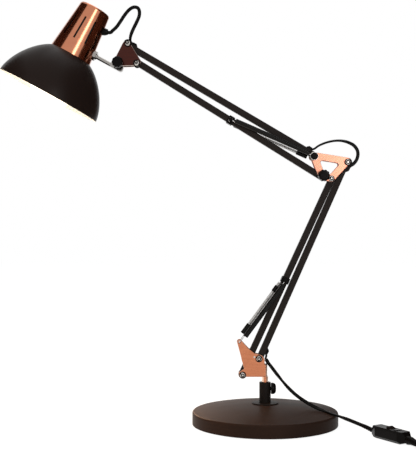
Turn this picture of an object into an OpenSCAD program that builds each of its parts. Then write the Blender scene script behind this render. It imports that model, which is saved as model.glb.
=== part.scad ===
// Architect desk lamp: round weighted foot, turning turret, two parallel-bar arms,
// elbow and head brackets, tilting and swivelling metal shade, mains cord with switch.
// X runs to the right, Y runs away from the viewer, Z is up, and the origin is the
// centre of the foot's underside. Most places are [x, z] points in the plane of the arms.

/* [Foot] */
// Diameter of the round foot
foot_d = 218; // [190:1:260]
// Height of the foot's upright rim
foot_rim_h = 20; // [16:1:30]
// Rise of the foot's shallow dome above its rim
foot_dome_h = 12; // [8:1:18]
// Wall of the pressed steel shell
foot_wall = 1.5; // [1:0.1:2.5]
// Rounding of the rim's top edge
foot_edge_r = 3; // [2:0.5:5]
// Thickness of the rubber pad under the foot
pad_h = 2; // [1:0.5:3]
// Thickness of the cast iron weight in the foot
weight_h = 9; // [6:1:13]

/* [Post] */
// Outer diameter of the post that stands on the foot
post_d = 17.2; // [15:0.2:22]
// Height of the post above the foot's dome
post_h = 31.5; // [28:0.5:45]
// Diameter of the turret's pin in the post
turret_pin_d = 9.6; // [8:0.2:10]
// Depth to which the turret's pin sits in the post
turret_pin_depth = 24; // [18:1:26]
// Diameter of the disc where the post meets the foot
flange_d = 40; // [32:1:60]
// Diameter of the post's lock knob
post_knob_d = 17; // [14:0.5:18]
// Depth of the post's lock knob
post_knob_h = 7.5; // [7:0.5:12]

/* [Arms] */
// Pivot to pivot length of the lower arm's bars
lower_arm_l = 322; // [280:1:360]
// Angle of the lower arm above the horizontal
lower_arm_angle = 65.7; // [63:0.1:72]
// Pivot to pivot length of the upper arm's bars
upper_arm_l = 325; // [280:1:360]
// Angle of the upper arm, measured the same way
upper_arm_angle = 148.8; // [144:0.1:156]
// Side of the square bars
bar_w = 9.5; // [8:0.1:9.9]
// Rounding of the bars' long edges
bar_edge_r = 0.8; // [0.4:0.1:1.5]
// How far a bar's end reaches past its pivot
bar_end = 5.2; // [4.6:0.1:5.6]
// How far the lower arm's holes lie off the bars' centre lines
lower_hole_offset = 1.2; // [0:0.1:1.2]
// How far the upper arm's holes lie off the bars' centre lines
upper_hole_offset = 1.9; // [0:0.1:1.9]
// Spacing of the lower arm's two pivots on a bracket
lower_link = 34.5; // [34.5:0.1:38]
// Spacing of the upper arm's two pivots on a bracket
upper_link = 32.1; // [32.1:0.1:34]
// Bore of the cable channel in the bars
channel_d = 5.6; // [5.4:0.1:5.8]

/* [Brackets] */
// Thickness of the bracket plates
plate_t = 1.5; // [1:0.1:2.2]
// Gap between a bar's side and a plate
side_gap = 1.3; // [1:0.1:1.8]
// Width of the elbow frame's struts
strut_w = 10.4; // [9:0.1:12]
// Diameter of the pivot screws
screw_d = 4; // [3:0.1:4]
// Diameter of the screws' heads
screw_head_d = 8.2; // [7:0.1:8.6]
// Diameter of the plastic washers
washer_d = 10.5; // [9:0.1:11]
// Thickness of the outer washers
washer_t = 1; // [0.6:0.1:1.4]
// Play of each bar on its screws, on the radius
play = 0.05; // [0.02:0.01:0.09]
// Outward step of the turret's two tips
tip_step = 1.6; // [1:0.1:2]
// Diameter of the holes that the lower springs hook into
tip_hole_d = 3.4; // [3:0.1:4]

/* [Knobs] */
// Diameter of the elbow's lobed knob
elbow_knob_d = 17.5; // [16:0.5:20]
// Depth of the elbow's lobed knob
elbow_knob_h = 16; // [12:1:20]
// Diameter of the head's lobed knob
head_knob_d = 17; // [14:0.5:18]
// Depth of the head's lobed knob
head_knob_h = 14; // [10:1:18]
// Diameter of the bolts under the lobed knobs
bolt_d = 5; // [4:0.1:6]
// Diameter of the caps over the elbow's spring pin
cap_d = 11; // [9:0.5:12]

/* [Springs] */
// Outer diameter of the coil springs
spring_d = 6.2; // [5.6:0.1:6.4]
// Diameter of the spring wire
wire_d = 1.1; // [0.9:0.1:1.3]
// Curls in each bare spring
curls = 30; // [20:1:32]
// Distance of the spring's axis from the arms' middle plane
spring_y = 10; // [10:0.1:10.4]
// Outer diameter of the sleeves over the springs
sleeve_d = 7.4; // [7.2:0.1:7.4]
// Distance of the lower spring clip from the bar's lower pivot
lower_clip_at = 155; // [140:1:200]
// Distance of the upper spring clip from the bar's elbow pivot
upper_clip_at = 161; // [140:1:200]

/* [Head] */
// Tilt of the shade from upright
head_tilt = 28.6; // [15:0.1:40]
// Diameter of the shade's rim
shade_d = 161; // [140:1:190]
// Height of the shade from its rim to its neck
shade_h = 70; // [60:1:85]
// Wall of the spun metal shade
shade_wall = 1; // [0.8:0.1:2]
// Diameter of the copper neck at the shade
neck_d = 64.8; // [60:0.2:72]
// Diameter of the copper neck at its closed top
neck_top_d = 47.5; // [44:0.5:56]
// Height of the copper neck
neck_h = 78.5; // [70:0.5:95]
// Wall of the copper neck
neck_wall = 1; // [0.8:0.1:2]
// Number of cooling slots round the neck
slots = 10; // [6:1:12]
// Length of each cooling slot
slot_l = 36; // [24:1:44]
// Width of each cooling slot
slot_w = 2.8; // [1.8:0.1:3.4]
// Diameter of the round rod that carries the head
rod_d = 6; // [5:0.1:7]
// Height of the rod above the shade's rim
rod_z = 86; // [82:0.5:88]
// Distance of the tilt bolt from the shade's axis
tilt_x = 69.7; // [67:0.1:74]
// Height of the tilt bolt above the shade's rim
tilt_z = 92.4; // [91:0.1:94]

/* [Bulb] */
// Diameter of the bulb's globe
bulb_d = 62; // [55:0.5:68]
// Height of the globe's centre above the shade's rim
bulb_z = 9; // [5:0.5:16]
// Diameter of the bulb's screw cap
bulb_cap_d = 26; // [24:0.5:27]
// Diameter of the lampholder
holder_d = 37; // [34:0.5:38]

/* [Cord] */
// Width of the flat twin cord
cord_w = 5; // [4.6:0.1:5]
// Thickness of the flat twin cord
cord_t = 3.2; // [2.8:0.1:3.4]
// Turns of the spare cord in its coil
coil_turns = 7.25; // [5.25:1:8.25]
// Radius of the coil's outermost turn
coil_r = 40; // [40:1:44]
// Width of the inline switch
switch_w = 21; // [20:1:26]
// Height of the inline switch
switch_h = 17; // [16:0.5:19]
// Length of the plug's body
plug_l = 36; // [30:1:44]

/* [Hidden] */
$fn = 64;

// Clearances between pieces
snug = 0.05;
run_gap = 0.2;
loose_gap = 0.3;
eps = 0.01;

// Colours as the photograph shows them
black = [0.06, 0.05, 0.05];
dark = [0.13, 0.11, 0.11];
copper = [0.80, 0.47, 0.34];
dark_copper = [0.38, 0.15, 0.10];
steel = [0.75, 0.75, 0.76];
iron = [0.30, 0.30, 0.31];
white = [0.95, 0.94, 0.90];
brass = [0.80, 0.66, 0.35];

// Plane geometry of the arms, worked out from the driving sizes
function dir(a) = [cos(a), sin(a)];
function turn_left(v) = [-v.y, v.x];
foot_top = foot_rim_h + foot_dome_h;
post_top = foot_top + post_h;
lower_link_angle = 225;
upper_link_angle = -65.6;
turret_rear_pivot = [-9.4, post_top + 35.9];
turret_front_pivot = turret_rear_pivot + lower_link * dir(lower_link_angle);
tip_hole = turret_front_pivot + [-4.6, 48.6];
elbow_rear_pivot = turret_rear_pivot + lower_arm_l * dir(lower_arm_angle);
elbow_front_pivot = elbow_rear_pivot + lower_link * dir(lower_link_angle);
spring_pin = elbow_rear_pivot + [-50.4, 8.6];
elbow_bolt = spring_pin + upper_link * dir(upper_link_angle);
head_top_pivot = spring_pin + upper_arm_l * dir(upper_arm_angle);
head_low_pivot = head_top_pivot + upper_link * dir(upper_link_angle);
tilt_bolt = head_top_pivot + [-14.3, -29.6];
lower_u = dir(lower_arm_angle);
lower_n = turn_left(lower_u);
upper_u = dir(upper_arm_angle);
upper_n = turn_left(upper_u);

// Depths of the layers on either side of the arms' middle plane
plate_in = bar_w / 2 + side_gap;
plate_out = plate_in + plate_t;
washer_out = plate_out + washer_t;
screw_r = screw_d / 2;
bar_bore_r = screw_r + play;

// Spring clips sit on the front bar of the lower arm and the bottom bar of the upper arm
clip_wall = 1.5;
clip_l = 9;
clip_pin_d = 3;
clip_pin_y = spring_y + 3.4;
// A bar is [first pivot, second pivot, offset of its centre line at the first one]
function bar_point(b, s) = let (l = norm(b[1] - b[0]), n = turn_left((b[1] - b[0]) / l),
    c0 = b[0] + b[2] * n, c1 = b[1] - b[2] * n) c0 + (c1 - c0) * (s / l);
lower_clip = bar_point([turret_front_pivot, elbow_front_pivot, lower_hole_offset], lower_clip_at);
upper_clip = bar_point([elbow_bolt, head_low_pivot, upper_hole_offset], upper_clip_at);

// Cable grommets lie on the bars, with their mouths along the bar; distances from first pivots
grommet_l = 6;
grommet_nose = 2;
grommet_wall = 0.5;
grommet_rise = cord_t / 2 + 0.25;
lower_out_at = 14;
lower_in_at = lower_arm_l - 9;
upper_in_at = 11.5;
upper_out_at = upper_arm_l - 9;
lower_rear = [turret_rear_pivot, elbow_rear_pivot, -lower_hole_offset];
lower_front = [turret_front_pivot, elbow_front_pivot, lower_hole_offset];
upper_top = [spring_pin, head_top_pivot, -upper_hole_offset];
upper_bottom = [elbow_bolt, head_low_pivot, upper_hole_offset];
function bar_heading(b) = let (n = turn_left((b[1] - b[0]) / norm(b[1] - b[0])),
    v = b[1] - b[0] - 2 * b[2] * n) v / norm(v);
// Point d outside the mouth of the grommet at s on a bar, with its way along (1) or back (-1)
function mouth(b, s, way, d) = let (u = bar_heading(b), q = bar_point(b, s)
    - (bar_w / 2 + grommet_rise) * turn_left(u) + way * (grommet_l / 2 + d) * u) [q.x, 0, q.y];

// Places on the head, whose frame has the rim at z = 0 and leans by head_tilt
head_x = dir(-head_tilt);
head_z = dir(90 - head_tilt);
function head_point(x, z) = tilt_bolt + (x - tilt_x) * head_x + (z - tilt_z) * head_z;
function neck_r(z) = neck_d / 2 + (neck_top_d - neck_d) / 2 * (z - shade_h) / neck_h;
gland_z = shade_h + 54;
gland_at = [neck_r(gland_z), 0, gland_z];
gland_rise = atan2((neck_d - neck_top_d) / 2, neck_h) + 18;
gland_out = 7;
function gland_point(d) = let (q = head_point(gland_at.x, gland_z)
    + d * dir(gland_rise - head_tilt)) [q.x, 0, q.y];

// Ring of the turret's cable clip
spine_top = turret_rear_pivot.y - 9;
ring_at = [2.9, spine_top + 5];
ring_dir = dir(-58);
function ring_point(d) = [ring_at.x + d * ring_dir.x, 0, ring_at.y + d * ring_dir.y];

// Routes of the held cable loops, as [x, y, z] points between their fixed ends; their free
// parts are placed from the pivot that they hang on
function from_point(q, p) = [for (v = p) [q.x, 0, q.y] + v];
head_loop_path = concat([gland_point(-6.6), gland_point(gland_out + 1.5)], from_point(head_top_pivot, [
    [-23.3, 0, 20.6], [-17.1, 0, 26.4], [-11.1, 0, 35], [-5.3, 0, 43.8],
    [1.3, 0, 51.6], [7.9, 0, 55.6], [14.1, 0, 54.8], [16.9, 0, 49.6],
    [16.4, 0, 42], [12.8, 0, 33.4], [9, 0, 25.6], [5.8, 0, 18.6],
    [3.8, 0, 12.6], [3.1, 0, 7.8], [3.7, 0, 4.4]]),
    [mouth(upper_top, upper_out_at, 1, 1.2), mouth(upper_top, upper_out_at, 1, -3)]);
elbow_loop_path = concat(
    [mouth(upper_top, upper_in_at, -1, -3), mouth(upper_top, upper_in_at, -1, 1)],
    from_point(spring_pin, [
    [0.7, 0, 11.5], [3.5, 0, 13.3], [6.7, 0, 15.7], [11.8, 0, 18.3], [18.9, 0, 21], [27.3, 0, 23.1],
    [35.9, 0, 24], [44.5, 0, 23.4], [53.1, 0, 20.9], [60.5, 0, 16.7],
    [65.3, 0, 10.3], [66.6, 0, 3.8], [65.4, 0, -2.6], [62.5, 0, -7.9], [59, 0, -11.4],
    [55.6, 0, -13.4]]),
    [mouth(lower_rear, lower_in_at, 1, 0.8), mouth(lower_rear, lower_in_at, 1, -3)]);
exit_lead_path = concat(
    [mouth(lower_rear, lower_out_at, -1, -3), mouth(lower_rear, lower_out_at, -1, 1)],
    from_point(turret_rear_pivot, [[11.4, 0, 3.6]]), [ring_point(-3.6), ring_point(-0.25)]);
// Routes of the free cord, as [x, y, z] points
cord_to_switch_path = concat([ring_point(0.25), ring_point(4)], [
    [10.4, -1.5, 85.2], [16.2, -3.4, 77.6], [22.4, -5.5, 69.9], [29.2, -8.4, 61.8],
    [36.5, -11.5, 54.2], [43.4, -14, 48], [50.6, -16.5, 42.6], [59.8, -19.5, 36.9],
    [70, -23, 31.4], [78.4, -26.4, 27.8], [86.3, -30, 25.5], [95.4, -38, 23.2],
    [102.6, -45, 21.8], [110.2, -52, 20], [119.8, -58, 17.2], [129.4, -64.2, 14.1],
    [138.8, -70.4, 11], [145, -75.8, 8.7], [149.8, -80.7, 7]]);
cord_to_coil_path = [
    [187.2, -142.3, 7], [190.2, -147, 6.6], [194.8, -153.4, 4.8], [201.4, -159.8, 2.8],
    [210, -165.2, 1.8], [220, -168.6, 1.6], [231, -169.4, 1.6], [242.5, -167, 1.6],
    [253.5, -162.5, 1.6], [263.6, -160, 1.6]
];
coil_centre = [264, -120];
cord_to_plug_path = [
    [304, -119.6, 5.25], [304, -112, 5.25], [304.4, -104, 6], [305, -96, 6.8], [305.4, -90.4, 7]
];
coil_layer = cord_t + 0.45;
coil_pitch = cord_w + 0.5;
cord_section = [cord_w / 2, cord_t / 2];

// Inline switch and plug
switch_in = [150, -81];
switch_out = [187, -142];
plug_at = [305.4, -90];
plug_w = 26;
plug_h = 14;
pin_d = 4;
pin_l = 19;

// Shared shapes
module at(p) { translate([p.x, 0, p.y]) children(); }
module along_y(p, r, y0, y1) {
    translate([p.x, y0, p.y]) rotate([-90, 0, 0]) cylinder(r = r, h = y1 - y0);
}
// Flat outline drawn in [x, z], made a plate from y0 to y1
module plate(y0, y1) {
    translate([0, y1, 0]) rotate([90, 0, 0]) linear_extrude(y1 - y0) children();
}
module disc(p, r) { translate(p) circle(r = r); }
module pair_y() {
    children();
    mirror([0, 1, 0]) children();
}
module head_frame() {
    at(tilt_bolt) rotate([0, head_tilt, 0]) translate([-tilt_x, 0, -tilt_z]) children();
}

// Arc of n steps between two angles
function arc(c, r, a0, a1, n) = [for (i = [0:n]) c + r * dir(a0 + (a1 - a0) * i / n)];
function bezier(p0, p1, p2, p3, n) = [for (i = [0:n]) let (t = i / n, u = 1 - t)
    u * u * u * p0 + 3 * u * u * t * p1 + 3 * u * t * t * p2 + t * t * t * p3];

// Tube swept along points: frames are carried from ring to ring without twist. Its radius may
// be a pair, for a flat tube: first along v0, then across it
function unit(v) = v / norm(v);
function tangent(p, i) = unit(p[min(i + 1, len(p) - 1)] - p[max(i - 1, 0)]);
function across(v, t) = unit(v - (v * t) * t);
function frames(p, v0) = [for (i = 0, v = across(v0, tangent(p, 0)); i < len(p);
    i = i + 1, v = across(v, tangent(p, min(i, len(p) - 1)))) v];
module sweep(p, r, sides, v0) {
    n = len(p);
    f = frames(p, v0);
    pair = is_list(r) ? r : [r, r];
    ring = [for (k = [0:sides - 1]) [pair[0] * cos(360 * k / sides), pair[1] * sin(360 * k / sides)]];
    points = [for (i = [0:n - 1]) let (t = tangent(p, i), a = f[i], b = cross(t, a))
        for (q = ring) p[i] + q[0] * a + q[1] * b];
    walls = [for (i = [0:n - 2]) for (k = [0:sides - 1])
        let (a = i * sides + k, b = i * sides + (k + 1) % sides)
        each [[a, a + sides, b], [b, a + sides, b + sides]]];
    start = [for (k = [1:sides - 2]) [0, k, k + 1]];
    last = (n - 1) * sides;
    end = [for (k = [1:sides - 2]) [last, last + k + 1, last + k]];
    polyhedron(points, concat(walls, start, end));
}
// Least distance between points of a path that lie more than skip steps apart
function self_gap(p, skip) = min([for (i = [0:len(p) - 1])
    for (j = [i + skip:1:len(p) - 1]) norm(p[i] - p[j])]);
function path_length(p) = len(p) < 2 ? 0
    : [for (i = 0, s = 0; i < len(p); i = i + 1,
        s = s + (i < len(p) ? norm(p[i] - p[i - 1]) : 0)) s][len(p) - 1];

// Screw with a domed head in front and a nut behind, along Y
module pivot_screw(p, r, head_r, front, rear) {
    head_h = 2.4;
    nut_h = 3.2;
    along_y(p, r, -front - eps, rear + nut_h + 1);
    at(p) translate([0, -front, 0]) rotate([90, 0, 0]) rotate_extrude()
        polygon(concat([[0, 0], [head_r, 0], [head_r, 0.8]],
            arc([head_r - 1.6, 0.8], 1.6, 0, 90, 6),
            [[head_r - 1.75, head_h], [head_r - 1.85, 1.6], [head_r - 2.6, 1.6]],
            [[head_r - 2.7, head_h], [0, head_h]]));
    at(p) translate([0, rear + nut_h, 0]) rotate([90, 0, 0]) cylinder(r = head_r, h = nut_h, $fn = 6);
}
module ring_y(p, r_out, r_in, y0, y1) {
    difference() {
        along_y(p, r_out, y0, y1);
        along_y(p, r_in, y0 - 1, y1 + 1);
    }
}
// Black plastic washers of one pivot: outside both plates and between plates and bar
module pivot_washers(p) {
    pair_y() {
        ring_y(p, washer_d / 2, screw_r + snug, plate_out, washer_out);
        ring_y(p, washer_d / 2, screw_r + snug, bar_w / 2 + run_gap, plate_in);
    }
}
// Knob of lobes with a domed top, standing on the XY plane
module lobed_knob(d, h, lobes) {
    lobe_r = d * 0.13;
    edge = h * 0.22;
    intersection() {
        linear_extrude(h) union() {
            circle(r = d / 2 - lobe_r * 0.4);
            for (i = [0:lobes - 1]) rotate(360 * i / lobes) translate([d / 2 - lobe_r, 0])
                circle(r = lobe_r, $fn = 24);
        }
        rotate_extrude() polygon(concat([[0, 0], [d / 2 - edge / 2, 0], [d / 2 + eps, edge / 2]],
            arc([d / 2 + eps - edge, h - edge], edge, 0, 90, 6), [[0, h]]));
    }
}

// Square bar with rounded ends; its holes lie off the centre line, one to each side
module arm_bar(b) {
    u = bar_heading(b);
    end_r = bar_w / 2 + 0.25;
    c0 = bar_point(b, 0) - (bar_end - end_r) * u;
    c1 = bar_point(b, norm(b[1] - b[0])) + (bar_end - end_r) * u;
    angle = atan2(u.y, u.x);
    difference() {
        intersection() {
            plate(-bar_w, bar_w) union() {
                disc(c0, end_r);
                disc(c1, end_r);
                translate(c0) rotate(angle) translate([0, -end_r]) square([norm(c1 - c0), 2 * end_r]);
            }
            at(c0) rotate([0, -angle, 0]) translate([-bar_w, 0, 0]) rotate([90, 0, 90])
                linear_extrude(norm(c1 - c0) + 2 * bar_w) rounded_square(bar_w, bar_edge_r);
        }
        for (p = [b[0], b[1]]) along_y(p, bar_bore_r, -bar_w - 1, bar_w + 1);
    }
}
module rounded_square(w, r) {
    square([w - 2 * r, w], center = true);
    square([w, w - 2 * r], center = true);
    for (x = [-1, 1]) for (y = [-1, 1]) translate([x, y] * (w / 2 - r)) circle(r = r, $fn = 24);
}
// Frame whose x runs along a bar from the point at s and whose z leaves its cable side
module on_bar(b, s) {
    u = bar_heading(b);
    at(bar_point(b, s)) rotate([0, -atan2(u.y, u.x), 0]) rotate([180, 0, 0]) children();
}
// Channel bore between two distances along a bar, with a way out at each end
module channel(b, s0, s1) {
    on_bar(b, s0) {
        rotate([0, 90, 0]) cylinder(r = channel_d / 2, h = s1 - s0);
        for (x = [0, s1 - s0]) translate([x, 0, 0]) cylinder(r = channel_d / 2, h = bar_w);
    }
}
// Outline of the flat cord, grown by g, its width along the first axis
module cord_outline(g) {
    w = cord_w + 2 * g;
    t = cord_t + 2 * g;
    square([w - t, t], center = true);
    for (x = [-1, 1]) translate([x * (w - t) / 2, 0]) circle(r = t / 2);
}
// Tunnel on a bar's face with its mouth facing along (1) or back (-1)
module bar_grommet(b, s, way) {
    w = cord_w + 2 * grommet_wall;
    half = grommet_l / 2;
    top = grommet_rise + cord_t / 2 + grommet_wall;
    on_bar(b, s) rotate([0, 0, way > 0 ? 0 : 180]) translate([0, 0, bar_w / 2]) difference() {
        intersection() {
            translate([0, w, 0]) rotate([90, 0, 0]) linear_extrude(2 * w) polygon([
                [-half - grommet_nose, 0], [half, 0], [half, top], [1 - half, top],
                [-half - grommet_nose, 1]]);
            translate([-2 * half, 0, 0]) rotate([90, 0, 90]) linear_extrude(4 * half) union() {
                translate([-w / 2, 0]) square([w, grommet_rise]);
                translate([0, grommet_rise]) cord_outline(grommet_wall);
            }
        }
        translate([1.5 - half, 0, grommet_rise]) rotate([90, 0, 90])
            linear_extrude(grommet_l) cord_outline(snug);
    }
}
module bar_cable(b, s0, s1) {
    on_bar(b, s0) rotate([90, 0, 90]) linear_extrude(s1 - s0) cord_outline(0);
}
module spring_clip(p, angle) {
    w = bar_w + 2 * clip_wall;
    at(p) rotate([0, -angle, 0]) {
        difference() {
            cube([clip_l, w, w], center = true);
            cube([clip_l + 1, bar_w + 2 * snug, bar_w + 2 * snug], center = true);
        }
        pair_y() translate([0, w / 2 - eps, 0]) rotate([-90, 0, 0])
            cylinder(r = clip_pin_d / 2, h = clip_pin_y - w / 2);
    }
}

// Foot and post
foot_r = foot_d / 2;
dome_r = (foot_r * foot_r + foot_dome_h * foot_dome_h) / (2 * foot_dome_h);
// Height of the dome, or of a surface that lies a distance below it
function dome_z(r, below = 0) = foot_top - dome_r + sqrt(pow(dome_r - below, 2) - r * r);
function dome_curve(r0, r1, below, n) = [for (i = [0:n]) let (r = r0 + (r1 - r0) * i / n)
    [r, dome_z(r, below)]];
shell_gap = 0.6;
stub_d = 12;
hub_d = 36;
nut_h = 6;
nut_d = 20;
module foot_shell() {
    edge_c = [foot_r - foot_edge_r, dome_z(foot_r - foot_edge_r) - foot_edge_r];
    inner_r = foot_r - foot_wall;
    color(dark) rotate_extrude($fn = 120) polygon(concat(
        [[inner_r, pad_h - shell_gap], [foot_r, pad_h - shell_gap]],
        arc(edge_c, foot_edge_r, 0, 84, 6),
        dome_curve(foot_r - foot_edge_r - 1, stub_d / 2 + snug, 0, 16),
        dome_curve(stub_d / 2 + snug, inner_r - 1, foot_wall, 10),
        [[inner_r, dome_z(inner_r, foot_wall) - 1]]));
}
module foot_weight() {
    hub_top = dome_z(hub_d / 2, foot_wall);
    color(iron) difference() {
        union() {
            translate([0, 0, pad_h]) cylinder(r = foot_r - foot_wall - shell_gap, h = weight_h);
            translate([0, 0, pad_h]) cylinder(r = hub_d / 2, h = hub_top - pad_h - eps);
        }
        translate([0, 0, pad_h - 1]) cylinder(r = nut_d / 2 + 2, h = nut_h + 3);
        cylinder(r = stub_d / 2 + snug, h = foot_top);
    }
}
module foot_pad() {
    color(black) cylinder(r = foot_r - 5, h = pad_h);
}
module foot_flange() {
    flange_t = 1.6;
    color(black) rotate_extrude($fn = 96) polygon(concat(
        dome_curve(post_d / 2 + snug, flange_d / 2, 0, 6),
        [[flange_d / 2, dome_z(flange_d / 2) + flange_t / 2]],
        [[flange_d / 2 - 1, dome_z(flange_d / 2) + flange_t]],
        [[post_d / 2 + snug, foot_top + flange_t + 0.3]]));
}
knob_z = post_top - 9.5;
post_wall = (post_d - turret_pin_d) / 2 - play;
module post_tube() {
    color(black) difference() {
        union() {
            translate([0, 0, foot_top - 0.05]) cylinder(r = post_d / 2, h = post_h + 0.05);
            translate([0, 0, pad_h + 0.6]) cylinder(r = stub_d / 2, h = foot_top - pad_h);
        }
        translate([0, 0, post_top - turret_pin_depth - 1])
            cylinder(r = turret_pin_d / 2 + play, h = post_h);
        translate([0, 0, knob_z]) rotate([0, 90, 0]) cylinder(r = bolt_d / 2 + play, h = post_d);
    }
}
module post_nut() {
    color(steel) difference() {
        translate([0, 0, pad_h + 2]) cylinder(r = nut_d / 2, h = nut_h, $fn = 6);
        cylinder(r = stub_d / 2 + snug, h = foot_top);
    }
}
module post_knob() {
    r = post_knob_d / 2;
    round_r = 5;
    flutes = 12;
    color(black) translate([post_d / 2 + loose_gap, 0, knob_z]) rotate([0, 90, 0]) {
        difference() {
            rotate_extrude() polygon(concat([[0, 0], [r - 0.8, 0], [r, 0.8]],
                arc([r - round_r, post_knob_h - round_r], round_r, 0, 82, 8), [[0, post_knob_h]]));
            for (i = [0:flutes - 1]) rotate(360 * i / flutes) translate([r + 0.5, 0, -1])
                cylinder(r = 1, h = post_knob_h - round_r + 2, $fn = 16);
        }
        translate([0, 0, -post_wall - 0.3]) cylinder(r = bolt_d / 2, h = post_wall + 0.3 + eps);
    }
}

// Turret: a sheet bracket folded round the arm's foot, with a spine, a floor and two tips
spine_out = 3.2;
spine_in = spine_out - plate_t;
floor_z = post_top + 8.8;
band_low = [turret_rear_pivot + [-7, 8], turret_front_pivot + [2.4, 9.7]];
band_high = [turret_rear_pivot + [-14.6, 14], turret_front_pivot + [-1.6, 24]];
module turret_cheek_outline() {
    r = 2;
    offset(r = r) offset(delta = -r) polygon([
        turret_front_pivot + [-5.6, -4], turret_front_pivot + [-5.6, 4], band_low[1],
        band_low[0], turret_rear_pivot + [4, 5], turret_rear_pivot + [8.3, 0],
        [-1, spine_top], [-1, floor_z], turret_front_pivot + [-3, floor_z - turret_front_pivot.y]
    ]);
}
// Point where a line from p touches the circle round c, on its left (1) or right (-1)
function touch_point(p, c, r, side) = let (v = p - c)
    c + r * dir(atan2(v.y, v.x) - side * acos(r / norm(v)));
module turret_tip_outline() {
    r = tip_hole_d / 2 + 1.8;
    disc(tip_hole, r);
    polygon([band_high[1], touch_point(band_high[1], tip_hole, r, 1),
        touch_point(band_high[0], tip_hole, r, -1), band_high[0]]);
}
module thin_band(a, y0) {
    hull() {
        translate([a[0].x, y0, a[0].y]) rotate([-90, 0, 0]) cylinder(r = 0.3, h = plate_t, $fn = 8);
        translate([a[1].x, y0, a[1].y]) rotate([-90, 0, 0]) cylinder(r = 0.3, h = plate_t, $fn = 8);
    }
}
module turret_bracket() {
    fold_r = 4;
    color(copper) difference() {
        union() {
            pair_y() {
                plate(-plate_out, -plate_in) turret_cheek_outline();
                plate(-plate_out - tip_step, -plate_in - tip_step) turret_tip_outline();
                hull() {
                    thin_band(band_low, -plate_out);
                    thin_band(band_high, -plate_out - tip_step);
                }
            }
            difference() {
                translate([-1.2, -plate_out, floor_z])
                    spine_block(spine_out + 1.2, 2 * plate_out, spine_top - floor_z, fold_r);
                translate([-2, -plate_in, floor_z - 1])
                    spine_block(spine_in + 2, 2 * plate_in, spine_top - floor_z + 2, fold_r - plate_t);
            }
            translate([-12, -plate_in - eps, floor_z])
                cube([12 + spine_in, 2 * (plate_in + eps), plate_t]);
        }
        for (p = [turret_front_pivot, turret_rear_pivot])
            along_y(p, screw_r + snug, -plate_out - 1, plate_out + 1);
        along_y(tip_hole, tip_hole_d / 2, -plate_out - 4, plate_out + 4);
        translate([0, 0, floor_z - 1]) cylinder(r = turret_pin_d / 2 - 1.5 + snug, h = 5);
    }
}
// Block whose two far corners are rounded
module spine_block(l, w, h, r) {
    linear_extrude(h) union() {
        square([l - r, w]);
        translate([0, r]) square([l, w - 2 * r]);
        for (y = [r, w - r]) translate([l - r, y]) circle(r = r, $fn = 32);
    }
}
module turret_pin() {
    color(copper) union() {
        translate([0, 0, post_top - turret_pin_depth])
            cylinder(r = turret_pin_d / 2, h = turret_pin_depth + floor_z - post_top);
        translate([0, 0, floor_z - eps]) cylinder(r = turret_pin_d / 2 - 1.5, h = plate_t + eps);
        translate([0, 0, floor_z + plate_t]) cylinder(r1 = turret_pin_d / 2 - 0.8, r2 = 1.6, h = 1.1);
    }
}
module turret_screws() {
    color(steel) {
        for (p = [turret_front_pivot, turret_rear_pivot])
            pivot_screw(p, screw_r, screw_head_d / 2, washer_out, washer_out);
        pair_y() along_y(turret_rear_pivot + [-7, 2.6], 1.4, -plate_out - 0.9, -plate_out);
    }
}
module turret_washers() {
    color(black) for (p = [turret_front_pivot, turret_rear_pivot]) pivot_washers(p);
}
// Outline made a block of a length along the ring's axis, centred on the ring
module along_ring(l) {
    at(ring_at) rotate([0, 90 - atan2(ring_dir.y, ring_dir.x), 0]) translate([0, 0, -l / 2])
        linear_extrude(l) rotate(90) children();
}
module turret_cable_clip() {
    ring_l = 4.6;
    ring_wall = 1.2;
    color(black) difference() {
        union() {
            translate([spine_in, -3.4, spine_top]) cube([plate_t + 0.6, 6.8, 4]);
            along_ring(ring_l) cord_outline(ring_wall);
        }
        along_ring(4 * ring_l) cord_outline(snug);
    }
}
module cable_exit_lead() {
    color(black) sweep(smooth(exit_lead_path, 2), cord_section, 12, [0, 1, 0]);
}

// Lower arm
module lower_bar_rear() {
    color(dark) difference() {
        arm_bar(lower_rear);
        channel(lower_rear, lower_out_at, lower_in_at);
    }
}
module lower_cable() {
    color(black) bar_cable(lower_rear, lower_out_at + 1, lower_in_at - 1);
}
module lower_cable_grommets() {
    color(black) {
        bar_grommet(lower_rear, lower_out_at, -1);
        bar_grommet(lower_rear, lower_in_at, 1);
    }
}
module lower_bar_front() {
    color(dark) arm_bar(lower_front);
}
module lower_spring_clip() {
    color(black) spring_clip(lower_clip, lower_arm_angle);
}

// Springs: path of a hook eye, curls and a second eye, as one unbroken tube
hook_r = (clip_pin_d + wire_d) / 2 + 0.35;
tip_hook_r = 2.4;
coil_mid_r = (spring_d - wire_d) / 2;
lower_coil_start = 12.6;
upper_coil_start = 8.4;
coil_end = 7.4;
spring_pin_d = 5;
sleeve_near = 17;
// Eye round c in the plane of a and b, from beside b round the back of c to its front
function eye(c, a, b, r) = [for (k = [0:6]) let (t = 100 + 260 * k / 6)
    c + r * (cos(t) * a + sin(t) * b)];
function curl_path(c, a, n, s0, s1, turns, r) = [for (i = [0:turns * 8]) let (t = 360 * i / 8)
    c + (s0 + (s1 - s0) * i / (turns * 8)) * a + r * (cos(t) * n + sin(t) * cross(a, n))];
function reverse(p) = [for (i = [len(p) - 1:-1:0]) p[i]];
// A spring is [first point, second point, first eye's centre, radius and side, second eye's
// radius, distance from the first point to the curls, offset of the curls from the hooks]
tip_y = plate_in + plate_t / 2 + tip_step;
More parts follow.
